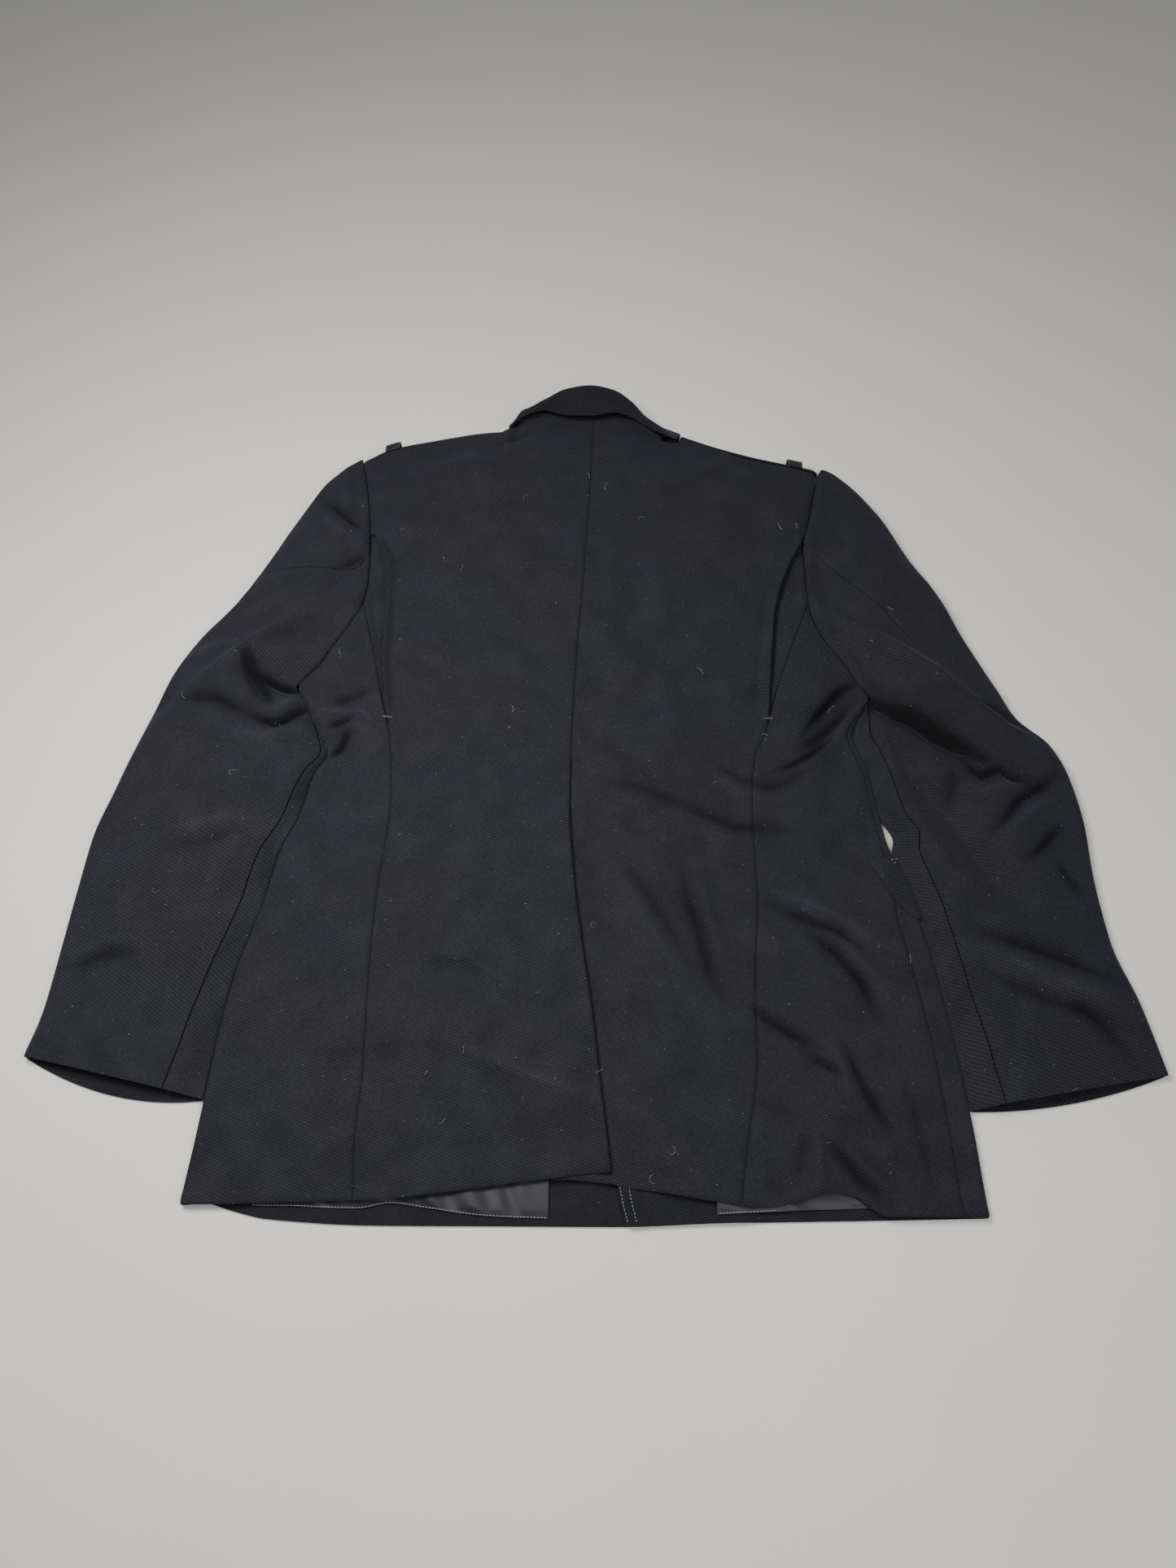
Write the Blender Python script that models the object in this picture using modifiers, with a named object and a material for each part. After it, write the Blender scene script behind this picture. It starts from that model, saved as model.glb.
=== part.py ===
"""Police dress tunic, laid face down: cut pieces of cloth round a flat, hollow body and two hollow sleeves.

Lengths in the tables are millimetres. +X is to the right of a viewer at the hem, +Y runs to the collar.
Each piece is a wall between an outer and an inner sheet, both read from one rule for the whole garment,
so that neighbours keep an even gap at their seam.
"""
import math

import bmesh
import bpy
import numpy as np

MM = 0.001
PLACE = (-0.5, -2.35)      # moves the finished garment so that its box is centred on the origin
SERGE = 1.8                # wall of the wool cloth, with its canvas or seam turnings
SATIN = 1.1                # wall of the lining
COLLAR = 2.2               # wall of the collar, with its canvas
UNDERLAY = 1.4             # wall of a pleat's underlay, which has no lining
GAP = 0.3                  # between pieces at a seam
SLEEVE_GAP = 0.45          # half the gap at a sleeve's seams, where the cloth curves most
ARMHOLE_GAP = 0.6          # from the line of the armhole to the fronts, whose rows are not level there
SIDE_ROLL = {"left": 3.0, "right": 4.5}     # radius at which cloth turns under at the side edges
SHOULDER_ROLL = 8.5        # and over the padded shoulders
SLEEVE_ROLL = 6.0          # and at a sleeve's outer edge
INNER_ROLL = {"left": 3.0, "right": 5.0}    # and at its inner edge
TURN_STOPS = (-8.0, -4.0, 0.0, 4.0, 8.0)    # paths of the columns set close together round a side edge
TURN_STEP = 3.0            # at least this far apart
SHOULDER_STOPS = (27.0, 20.0, 14.0, 9.0, 4.5, 0.0)    # rows set close together below the shoulder seams
BESIDE = {"left": 1.1, "right": 1.6}        # from the body's edge to the sleeve's inner edge
SHOULDER_TURN = 8.0        # the right front comes over the shoulder edge by this much
SHOULDER_FOLD = {"left": 345.0, "right": 323.0}   # up the armhole, where a front comes over to the back
UNDERARM = {"left": 57.0, "right": 44.0}
HEM_LEVEL, SIDE_TOP, SHOULDER_LEVEL = -400.0, 146.0, 318.0
HEM_FADE = 200.0           # the hem's own line is lost in level rows this far above it
BREAK = 80.0               # the place up the front where the lapels turn back
SHOULDER_TIP = 330.0       # up the body, where the side edges end and the sleeves start
NECK_TOP = 384.0           # the centre seam's upper end
NECK_BLEND = 10.0          # the shoulder's line runs into the neck seam over this width
HEM_ENDS = {"vent": -382.0, "left": 12.9, "right": 15.0}      # where the back hems end at the vent
FRONT_ENDS = {"armhole": 340.0, "neck": 365.0, "hem": -415.0}
OVERLAP = {"rise": 3.0, "reach": 64.0, "full": 40.0, "end": 250.0, "fade": 60.0}      # right front on left
QUARTER = math.pi / 2
LOOP = {
    "middle": {"left": -208.5, "right": 210.5},
    "width": 14.0,
    "over": (12.0, -8.0),
    "reach": 5.5,
    "clear": 0.6,
    "wall": 1.2,
}
BUTTON = {"radius": 12.5, "height": 3.0, "rounding": 0.8, "places": (70.0, -10.0, -90.0, -165.0)}


def smooth_curve(knots, values):
    """A smooth curve through the values that never overshoots them, and stays level past both ends."""
    order = np.argsort(knots)
    knots, values = np.array(knots, float)[order], np.array(values, float)[order]
    steps = np.diff(knots)
    slopes = np.diff(values) / steps
    tangents = np.zeros_like(values)
    before, after = slopes[:-1], slopes[1:]
    alike = before * after > 0
    safe = np.where(alike, before + after, 1.0)
    tangents[1:-1] = np.where(alike, 2 * before * after / safe, 0.0)
    tangents[0], tangents[-1] = slopes[0], slopes[-1]

    def curve(at):
        at = np.clip(at, knots[0], knots[-1])
        i = np.clip(np.searchsorted(knots, at) - 1, 0, len(steps) - 1)
        s = (at - knots[i]) / steps[i]
        start = values[i] * (1 + 2 * s) * (1 - s) ** 2 + tangents[i] * steps[i] * s * (1 - s) ** 2
        return start + values[i + 1] * s * s * (3 - 2 * s) + tangents[i + 1] * steps[i] * s * s * (s - 1)

    return curve


def table(columns, *rows):
    """Named curves over the first column."""
    names = columns.split()
    read = np.array(rows, float)
    return {name: smooth_curve(read[:, 0], read[:, i]) for i, name in enumerate(names) if i}


def ease(amount):
    s = np.clip(amount, 0.0, 1.0)
    return s * s * (3 - 2 * s)


def mix(a, b, share):
    return a * (1 - share) + b * share


# Outlines and heights

BODY = table(
    "y left_edge right_edge crown rim",
    (-420, -318, 302, 9.5, 7.5),
    (-398, -316, 300.5, 10, 7.5),
    (-353, -312, 299, 11.5, 8),
    (-286, -307, 294.5, 13, 8),
    (-231, -301, 288, 14, 8.5),
    (-155, -283, 275, 15, 9),
    (-107, -274, 260, 16, 9),
    (-75, -262, 255, 17, 9),
    (-33, -253, 250, 18, 9.5),
    (-12, -243, 244, 19, 10),
    (4, -248, 239, 20, 10),
    (16, -253, 242, 20.5, 10.5),
    (30, -261, 250, 21.5, 11),
    (44, -269, 259, 22.5, 12),
    (57, -277, 268, 23.5, 13),
    (100, -292, 288, 27, 18),
    (160, -300, 300, 31, 20),
    (230, -300, 300, 33, 20),
    (300, -300, 300, 33, 20),
    (440, -300, 300, 30, 20),
)
SEAMS = table(
    "y left right",
    (-420, -184, 111),
    (-399, -184, 113),
    (-350, -186, 121.5),
    (-297, -184.5, 131),
    (-228, -186, 134),
    (-150, -185, 140.5),
    (-63, -180, 141.5),
    (-20, -183, 147),
    (10, -187.5, 159.5),
    (39, -195, 168),
    (72, -202.5, 179),
    (102, -209.5, 191),
    (147, -222, 209),
)
CENTRE = table(
    "y seam",
    (-420, 15),
    (-377, 13),
    (-308, 5),
    (-253, -1),
    (-190, -10),
    (-129, -17),
    (-71, -20.5),
    (0, -19),
    (83, -15),
    (153, -10),
    (230, -5),
    (310, -1),
    (400, 3.5),
)
ARMHOLE = table(
    "y left right",
    (44, -286, 259),
    (57, -277, 251),
    (80, -258, 237.5),
    (105, -243, 221),
    (125, -232, 212),
    (150, -222, 208),
    (177, -219, 208),
    (208, -220, 208),
    (250, -224, 218),
    (285, -229, 226.5),
    (308, -234, 232),
    (322, -237, 235.4),
    (345, -238, 235.8),
)
PLEAT_FOLD = table(
    "y left right",
    (-60, -176, 141),
    (22, -189, 161.5),
    (60, -195, 165.5),
    (83, -197, 168),
    (131, -197.5, 174),
    (161, -198, 182),
    (190, -201, 194),
    (212, -210, 205.5),
    (232, -221, 212.5),
)
PLEAT = {
    "bottom": 22.0,
    "top": {"left": 232.0, "right": 230.0},
    "tail": 12.0,          # the underlay runs on below the pleat by this much
    "head": 6.0,           # and above it by this much
    "start": 8.0,          # the fold leaves the side-back seam here
    "leave": 14.0,         # within this height
    "merge": 12.0,         # and runs into the armhole within this height
    "tuck": 20.0,          # of the underlay below the fold
    "drop": 2.6,           # from the back's outside to the underlay below it
    "middle": 1.0,         # halfway, as much lower than the seam
    "sag": 3.0,            # and this much more where the pleat is as wide as full
    "full": 20.0,
    "lip": 0.2,
    "low_end": 62.0,       # below this, and above the next length under the top, the underlay goes deep
    "high_end": 36.0,
    "close": 16.0,
    "least": 0.4,
}
SHOULDER = table(
    "x edge",
    (-245, 329),
    (-237, 332),
    (-215, 346),
    (-199, 352),
    (-146, 364),
    (-117, 370),
    (-103, 371.5),
    (-96, 372),
    (-93, 373),
    (-85, 425),
    (78, 425),
    (91, 368.5),
    (98, 364),
    (107, 360),
    (130, 350),
    (162, 339),
    (188, 331.5),
    (226, 321),
    (237, 318),
    (245, 314),
)
NECK_REACH = 97.0          # the neck seam ends this far from the centre, at the shoulders' edges
NECK = table(
    "x seam",
    (-97, 358),
    (-88, 366),
    (-80, 374),
    (-67, 385),
    (-54, 389),
    (-34, 385),
    (-18, 383.5),
    (2, 384.5),
    (15, 388),
    (32, 388),
    (45, 379),
    (58, 367),
    (74, 356),
    (87, 350),
    (97, 350),
)
BACK_HEM = table(
    "x y",
    (-320, -399),
    (-290, -401),
    (-217, -399),
    (-156, -397),
    (-120, -393),
    (-34, -382.5),
    (13, -378),
    (15, -386.5),
    (48, -392),
    (92, -399),
    (131, -404),
    (164, -399),
    (193, -393),
    (209, -396),
    (236, -410),
    (305, -410),
)
UNDERLAP_HEM = table("x y", (-60, -384), (-22, -383), (15, -386.5))
FRONT_HEM = table(
    "x y",
    (-320, -399),
    (-298, -405),
    (-267, -411),
    (-181, -415.5),
    (-83, -416),
    (22, -416.5),
    (93, -414),
    (203, -412),
    (305, -410),
)
FRONT_EDGE = table(
    "y left right",
    (-430, 70, 28),
    (-385, 66, 18),
    (-200, 52, 2),
    (BREAK, 32, -18),
    (300, -63, 57),
    (352, -94, 92),
    (400, -97, 95),
)
UNDERLAP = {
    "top": -62.0,
    "open": 12.0,          # the vent opens within this height
    "length": 320.0,
    "width": 32.0,         # of the right back below the left one at the top
    "hem_width": 58.0,     # and at the hem
    "drop": 2.6,
    "lead": 50.0,
    "ramp": 16.0,
    "reach": 24.0,
}
SIDE_SEAM = {
    "left": {"under": 25.0, "fade": 60.0},        # on the underside, nearing the edge at the underarm
    "right": {"top": 8.0, "hem": 14.5, "from": -100.0, "ramp": 80.0, "underarm": 8.0, "fade": 40.0},
}

# The satin at the hem: its ends across, the height that it is lost at, and its lower edge above the front hem

LINING_SPAN = {"left": (-262.0, -34.6), "right": (94.0, 232.0)}
LINING_TOP = -330.0
LINING_REACH = 125.0       # it is lifted with the right front to this far past the left one's edge
LINING_INSET = {
    "left": table(
        "x inset", (-262, 10), (-223, 12), (-181, 12), (-155, 16), (-130, 13), (-80, 7), (-36, 5.5)
    ),
    "right": table("x inset", (95, 6), (130, 7), (170, 8), (250, 9)),
}

# The sleeves, a row for each rung from the outer edge to the armhole or the inner edge

SLEEVE_ROWS = {"below_tip": 10.0, "free": 15}      # first shared row below the tip, count below the underarm

SLEEVES = {
    "left": table(
        "down out_x out_y in_x in_y crown rim",
        (0.00, -239.8, 335, -237.4, 321, 19, 17),
        (0.06, -253, 326, -234, 307, 22, 16),
        (0.12, -276, 297, -230, 288, 25, 16),
        (0.20, -298, 255, -224.5, 250, 27, 16),
        (0.28, -322, 203, -220, 205, 28, 15),
        (0.36, -348, 151, -222, 150, 28, 14),
        (0.43, -378, 110, -243, 105, 27, 13),
        (0.50, -398, 68, -277, 57, 26, 13),
        (0.56, -408, 32, -263, 29, 25, 12),
        (0.62, -420, -10, -245, -12, 23, 12),
        (0.68, -431, -52, -259, -52, 21, 11),
        (0.74, -441, -95, -272.5, -100, 20, 11),
        (0.80, -445, -144, -284.5, -155, 18, 10),
        (0.86, -448, -195, -296, -205, 17, 10),
        (0.93, -452, -250, -306.5, -268, 16, 9.5),
        (1.00, -460, -288, -311.5, -322, 14.5, 9.5),
    ),
    "right": table(
        "down out_x out_y in_x in_y crown rim",
        (0.00, 240.0, 323, 236.6, 310, 19, 17),
        (0.06, 250, 316, 231, 301, 22, 16),
        (0.12, 271, 289, 225.5, 281, 25, 16),
        (0.20, 294, 255, 218, 248, 27, 16),
        (0.28, 316, 205, 208.5, 202, 28, 15),
        (0.36, 342, 155, 208, 150, 28, 14),
        (0.43, 357, 112, 217, 110, 27, 13),
        (0.50, 380, 55, 259, 44, 26, 13),
        (0.56, 394, 23, 242, 15, 25, 12),
        (0.62, 420, -5, 243, -15, 23, 12),
        (0.68, 432, -40, 252, -48, 21, 11),
        (0.74, 436, -85, 261.5, -95, 20, 11),
        (0.80, 434.5, -135, 274.5, -140, 18, 10),
        (0.86, 437, -190, 286, -195, 17, 10),
        (0.93, 451, -245, 294, -262, 16, 9.5),
        (1.00, 461, -303, 301.5, -331, 14.5, 9.5),
    ),
}
JOINED = {"until": 0.50, "free": 0.54}         # down the sleeve: sewn to the body, then clear of it
HIND_START = 0.26
HIND_SEAM = {
    "left": table(
        "down across",
        (0.270, 0.985),
        (0.298, 0.91),
        (0.303, 0.8),
        (0.307, 0.5),
        (0.311, 0.15),
        (0.318, 0.02),
        (0.34, 0.0),
        (1.0, -0.02),
    ),
    "right": table(
        "down across",
        (0.268, 0.985),
        (0.279, 0.88),
        (0.304, 0.777),
        (0.344, 0.65),
        (0.390, 0.536),
        (0.432, 0.46),
        (0.481, 0.386),
        (0.532, 0.257),
        (0.552, 0.11),
        (0.575, 0.0),
        (1.0, -0.02),
    ),
}
FORE_SEAM = {
    "left": table("down inset", (0.50, 0.3), (0.60, 4), (0.70, 11), (0.77, 15.5), (0.86, 18), (1.0, 30)),
    "right": table(
        "down inset", (0.50, 0.3), (0.56, 13), (0.60, 16), (0.68, 19), (0.76, 20), (0.86, 20), (1.0, 25)
    ),
}
CUFF_STEP = {"left": 13.0, "right": 8.0}    # the lower cuff edge comes further out than the upper one
CUFF_START = 0.9           # down the sleeve, where that step starts
SLEEVE_STEP = 1.3          # least width of a column of the sleeve
SLEEVE = {
    "arch": 2.4,           # power of the arch across it
    "rope": 1.5,           # height of the swell along the armhole
    "rope_at": 7.0,
    "rope_width": 6.0,
    "join": 60.0,          # within this width it comes to the back's height at the armhole
    "fold_fade": 30.0,     # folds fade this near its edges
    "roll_share": 0.4,     # most of its width that the outer edge's turn takes
}

# Main folds as soft ridges (+) and troughs (-): width, height, then the places along the line

FOLDS = {
    "body": (
        (26, -5.0, (-256, 32), (-225, 30), (-198, 22)),
        (24, 4.5, (-246, -2), (-222, 12), (-200, 10)),
        (30, 4.0, (150, -44), (190, -22), (215, 0), (238, 26)),
        (28, -4.0, (158, -16), (193, 8), (233, 46)),
        (34, 4.0, (0, -30), (52, -40), (95, -60), (136, -82)),
        (30, -3.0, (-4, -52), (44, -62), (88, -84)),
        (44, 3.0, (60, 160), (101, 95), (140, 28)),
        (40, 3.5, (-180, -196), (-107, -208), (-56, -240), (-4, -259)),
        (42, 3.0, (-128, -271), (-91, -289), (0, -322)),
        (40, 3.5, (8, -113), (44, -169), (68, -208), (97, -253)),
        (36, 3.5, (147, -154), (196, -175), (237, -201)),
        (38, 3.0, (191, -211), (225, -250), (239, -287)),
        (40, 6.0, (158, -404), (170, -365), (180, -340)),
        (40, 5.0, (178, -343), (205, -372), (228, -402)),
    ),
    "left": (
        (44, 5.0, (-410, 16), (-339, 76), (-283, 122), (-236, 146)),
        (34, -9.0, (-321, 84), (-312, 55), (-292, 34), (-268, 40)),
        (30, 4.0, (-322, 22), (-300, 6), (-276, 6), (-262, 22)),
        (44, -3.5, (-381, -66), (-366, -28), (-352, 12)),
        (30, 3.0, (-372, -93), (-342, -88), (-309, -74)),
        (32, 3.0, (-440, -207), (-410, -208), (-373, -205)),
    ),
    "right": (
        (46, 6.0, (222, 140), (272, 99), (320, 64), (345, 36), (377, 12), (410, -10)),
        (38, -9.0, (258, 48), (290, 22), (322, 2), (352, -22)),
        (34, 4.0, (330, -40), (349, -46), (368, -38), (388, -48)),
        (50, -4.5, (287, -49), (312, -85), (332, -120), (360, -159), (390, -193)),
        (30, 3.5, (365, -80), (380, -62), (415, -36)),
        (34, 3.5, (309, -175), (343, -185), (399, -207), (434, -226)),
        (34, 3.0, (317, -200), (360, -224), (393, -236), (436, -252)),
    ),
}


def fold_height(which, x, y):
    """The sum of the folds at a place. Each fades towards its two ends."""
    total = np.zeros(np.broadcast(x, y).shape)
    for width, height, *places in FOLDS[which]:
        line = np.array(places, float)
        legs = np.diff(line, axis=0)
        lengths = np.hypot(legs[:, 0], legs[:, 1])
        reached = np.concatenate([[0.0], np.cumsum(lengths)])
        best = np.full(total.shape, 1e9)
        share = np.zeros(total.shape)
        for start, leg, length, behind in zip(line, legs, lengths, reached):
            along = np.clip(((x - start[0]) * leg[0] + (y - start[1]) * leg[1]) / length ** 2, 0, 1)
            off = np.hypot(x - start[0] - along * leg[0], y - start[1] - along * leg[1])
            nearer = off < best
            best = np.where(nearer, off, best)
            share = np.where(nearer, (behind + along * length) / reached[-1], share)
        fade = ease(np.minimum(share, 1 - share) / 0.3) * 0.75 + 0.25
        total += height * fade * np.exp(-((best / (0.42 * width)) ** 2))
    return total


# The body: a height for the back, a height for the fronts, and the turn at each edge

BACK = {
    "arch": 2.6,           # power of the arch across the body, flat on top and steep at the sides
    "shoulder": 18.5,      # height at the shoulders' edges, reached over the next length
    "shoulder_fade": 70.0,
    "neck": 22.0,          # height at the neck seam, and the lengths that it eases over
    "neck_fade": 60.0,
    "neck_half": 100.0,
    "neck_side": 25.0,
    "fold_fade": 26.0,     # folds keep only edge_share of their height at the side edges
    "edge_share": 0.35,
}


def back_height(x, y):
    left, right = BODY["left_edge"](y), BODY["right_edge"](y)
    across = np.clip(np.abs(2 * x - left - right) / (right - left), 0, 1)
    rim = BODY["rim"](y)
    height = rim + (BODY["crown"](y) - rim) * (1 - across ** BACK["arch"])
    below = SHOULDER["edge"](x) - y
    height = height - np.maximum(height - BACK["shoulder"], 0) * ease(1 - below / BACK["shoulder_fade"])
    neck = ease(1 - (NECK["seam"](x) - y) / BACK["neck_fade"])
    neck = neck * ease((BACK["neck_half"] - np.abs(x)) / BACK["neck_side"])
    height = mix(height, BACK["neck"], neck)
    inside = ease(np.minimum(x - left, right - x) / BACK["fold_fade"])
    return height + fold_height("body", x, y) * mix(BACK["edge_share"], 1.0, inside)


def box_rise(x, y, low, high, ramp):
    """1 inside the box, easing to 0 over the ramp outside it."""
    rise_x = ease(1 + np.minimum(x - low[0], high[0] - x) / ramp)
    return rise_x * ease(1 + np.minimum(y - low[1], high[1] - y) / ramp)


LIFT = {"buttons": 3.4, "lapels": 3.0, "flaps": 2.4}      # of the fronts above what lies under them
LIFTED = {                 # where: low corner, high corner and the ramp round them
    "buttons": ((-40, -206), (40, BREAK), 30),            # x from between the two front edges
    "lapels": ((-140, 50), (140, 360), 36),
    "right_flap": ((84, -212), (270, -92), 26),
    "left_flap": ((-290, -204), (-80, -86), 26),
}
LAPELS = {
    "left": ((30, 84), (-62, 296), (-98, 288), (-112, 232)),
    "right": ((10, 156), (54, 294), (90, 284), (104, 230)),
}
FLAP_LEFT = ((-262, -116), (-110, -124), (-112, -172), (-258, -166))


def front_height(x, y):
    """How far the fronts lie above the floor: over the lapels, the buttons and the pocket flaps."""
    centre = (FRONT_EDGE["left"](y) + FRONT_EDGE["right"](y)) / 2
    buttons = LIFT["buttons"] * box_rise(x - centre, y, *LIFTED["buttons"])
    lapels = LIFT["lapels"] * box_rise(x, y, *LIFTED["lapels"])
    flaps = box_rise(x, y, *LIFTED["right_flap"]) + box_rise(x, y, *LIFTED["left_flap"])
    flaps = LIFT["flaps"] * flaps
    return np.maximum(np.maximum(buttons, lapels), flaps)


def turned(path, roll):
    """Inset from an edge, place between the two faces (-1 to 1) and turn, on a path round that edge."""
    along = np.abs(path)
    turn = np.minimum(along / roll, QUARTER)
    inset = roll * (1 - np.cos(turn)) + np.maximum(along - roll * QUARTER, 0)
    return inset, np.sin(turn) * np.sign(path), np.cos(turn)


def body_edge(side, y):
    """The side edge, which stays where it is past the shoulder's tip."""
    return BODY[side + "_edge"](np.minimum(y, SHOULDER_TIP))


def edge_path(side, x, y):
    """The path from a side edge to x, counted on a flat face."""
    sign = 1 if side == "right" else -1
    return sign * (body_edge(side, y) - x) + SIDE_ROLL[side] * (QUARTER - 1)


def body_point(side, path, up, depth, overlap=0.0):
    """A point of the body: path from the side edge (+ on the back), up the body, depth in from the outside.

    Past the shoulder's edge it comes out on the other face. overlap lifts the fronts off the floor.
    """
    sign = 1 if side == "right" else -1
    inset, side_face, side_turn = turned(path, SIDE_ROLL[side])
    x = body_edge(side, up) - sign * inset
    shoulder = SHOULDER["edge"](x)
    over = shoulder + SHOULDER_ROLL * (QUARTER - 1) - up
    drop, end_face, end_turn = turned(over, SHOULDER_ROLL)
    y = shoulder - drop
    place = side_face * end_face
    top, bottom = back_height(x, y), front_height(x, y) + overlap
    z = (top + bottom) / 2 + place * (top - bottom) / 2
    inward = np.stack([-sign * side_turn * np.ones_like(z), -end_turn * np.ones_like(z), -place], -1)
    inward /= np.linalg.norm(inward, axis=-1, keepdims=True)
    return np.stack([x, y, z], -1) + inward * np.asarray(depth)[..., None]


# The sleeves

def sleeve_point(side, down, across, depth):
    """A point of a sleeve: down it, across it and depth in.

    across runs 0 to 1 over the upper face from the outer edge to the inner one, and 0 to -1 below.
    Past -1 it comes up round the inner edge again.
    """
    rows = SLEEVES[side]
    joined = 1 - ease((down - JOINED["until"]) / (JOINED["free"] - JOINED["until"]))
    outer = np.stack([rows["out_x"](down), rows["out_y"](down)], -1)
    inner_y = rows["in_y"](down)
    beside = body_edge(side, inner_y) + (BESIDE[side] if side == "right" else -BESIDE[side])
    free_x = beside if side == "left" else np.maximum(beside, rows["in_x"](down))
    inner_x = np.where(down > JOINED["until"], free_x, ARMHOLE[side](inner_y))
    inner = np.stack([inner_x, inner_y], -1)
    width = np.linalg.norm(inner - outer, axis=-1)
    roll = np.minimum(SLEEVE_ROLL, SLEEVE["roll_share"] * width)
    inner_roll = INNER_ROLL[side] * (1 - joined) + 0.01
    wrapped = across < -1
    side_face = np.where((across < 0) & ~wrapped, -1.0, 1.0)
    share = np.where(wrapped, 2 + across, np.abs(across))
    length = width + (QUARTER - 1) * (roll + inner_roll)
    path = share * length
    turn = np.minimum(path / roll, QUARTER)
    inner_turn = np.minimum((length - path) / inner_roll, QUARTER)
    inset = np.where(
        length - path < inner_roll * QUARTER,
        width - inner_roll * (1 - np.cos(inner_turn)),
        roll * (1 - np.cos(turn)) + np.maximum(path - roll * QUARTER, 0),
    )
    rounding = np.sin(turn) * mix(np.sin(inner_turn), 1.0, joined)
    part = np.clip(inset / width, 0, 1)
    plan = outer + (inner - outer) * part[..., None]
    x, y = plan[..., 0], plan[..., 1]
    rim = rows["rim"](down)
    crown = rim + (rows["crown"](down) - rim) * (1 - np.abs(2 * part - 1) ** SLEEVE["arch"])
    at_seam = back_height(inner[..., 0], inner[..., 1])
    rope = SLEEVE["rope"] * np.exp(-(((width - inset - SLEEVE["rope_at"]) / SLEEVE["rope_width"]) ** 2))
    crown = mix(crown, at_seam, joined * ease(1 - (width - inset) / SLEEVE["join"])) + rope * joined
    crown = crown + fold_height(side, x, y) * ease(np.minimum(inset, width - inset) / SLEEVE["fold_fade"])
    middle = rim / 2
    z = np.where(side_face > 0, middle + (crown - middle) * rounding, middle * (1 - rounding))
    at_cuff = ease((down - CUFF_START) / (1 - CUFF_START)) * 4 * part * (1 - part)
    y = y - np.where(side_face < 0, CUFF_STEP[side] * at_cuff, 0.0)
    inner_way = (inner - outer) / width[..., None]
    sideways = np.cos(turn) - np.cos(inner_turn) * (1 - joined)
    inward = np.stack([inner_way[..., 0] * sideways, inner_way[..., 1] * sideways, -side_face * rounding], -1)
    inward /= np.linalg.norm(inward, axis=-1, keepdims=True)
    return np.stack([x, y, z], -1) + inward * np.asarray(depth)[..., None]


# Meshes

def new_material(name, colour, roughness, metallic=0.0):
    material = bpy.data.materials.new(name)
    material.use_nodes = True
    shader = material.node_tree.nodes["Principled BSDF"]
    shader.inputs["Base Color"].default_value = (*colour, 1)
    shader.inputs["Roughness"].default_value = roughness
    shader.inputs["Metallic"].default_value = metallic
    return material


def add_object(name, mesh, material):
    part = bpy.data.objects.new(name, mesh)
    mesh.materials.append(material)
    tunic.objects.link(part)
    mesh.shade_smooth()
    mesh.set_sharp_from_angle(angle=math.radians(50))
    part.location = (PLACE[0] * MM, PLACE[1] * MM, 0)
    return part


def add_wall(name, outer, inner, material):
    """The closed wall between an outer and an inner sheet of points, both rows by columns.

    Both sheets are split along the same diagonals, so that they stay clear of each other.
    """
    rows, columns = outer.shape[:2]
    points = np.concatenate([outer.reshape(-1, 3), inner.reshape(-1, 3)]) * MM
    under = rows * columns

    def at(r, c):
        return r * columns + c

    faces = []
    for r in range(rows - 1):
        for c in range(columns - 1):
            first, second, third, fourth = at(r, c), at(r, c + 1), at(r + 1, c + 1), at(r + 1, c)
            falling, rising = points[first] - points[third], points[second] - points[fourth]
            if np.linalg.norm(falling) <= np.linalg.norm(rising):
                faces += [(first, second, third), (first, third, fourth)]
            else:
                faces += [(first, second, fourth), (second, third, fourth)]
    faces += [tuple(under + i for i in reversed(face)) for face in faces]
    rim = [at(0, c) for c in range(columns)] + [at(r, columns - 1) for r in range(1, rows)]
    rim += [at(rows - 1, c) for c in range(columns - 2, -1, -1)] + [at(r, 0) for r in range(rows - 2, 0, -1)]
    for here, there in zip(rim, rim[1:] + rim[:1]):
        faces.append((there, here, here + under, there + under))
    mesh = bpy.data.meshes.new(name)
    mesh.from_pydata(points.tolist(), [], faces)
    made = bmesh.new()
    made.from_mesh(mesh)
    if made.calc_volume(signed=True) < 0:
        bmesh.ops.reverse_faces(made, faces=made.faces)
    made.to_mesh(mesh)
    made.free()
    return add_object(name, mesh, material)


def grid(up, across):
    """Arrays of rows by columns of two lists of places, or of even shares where a count is given."""
    lists = [np.linspace(0, 1, item + 1) if isinstance(item, int) else item for item in (up, across)]
    return np.meshgrid(*lists, indexing="ij")


def levels(side, top=True):
    """The rows that all pieces of one side share at their seams, so that their edges match."""
    under = UNDERARM[side]
    parts = [np.linspace(HEM_LEVEL, under, 21), np.linspace(under, SIDE_TOP, 5)[1:]]
    if top:
        near = SHOULDER_LEVEL - np.array(SHOULDER_STOPS)
        parts += [np.linspace(SIDE_TOP, near[0], 7)[1:], near[1:]]
    return np.concatenate(parts)


def ruled(level, across, hem, top, first, last):
    """Level rows, each from the first side to the last, bent to the hem below and to the top line above."""
    low = np.clip(1 - (level - HEM_LEVEL) / HEM_FADE, 0, 1)
    high = np.clip((level - SIDE_TOP) / (SHOULDER_LEVEL - SIDE_TOP), 0, 1)
    y = level + (hem(across) - HEM_LEVEL) * low + (top(across) - SHOULDER_LEVEL) * high
    return mix(first(y), last(y), across), y


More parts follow.
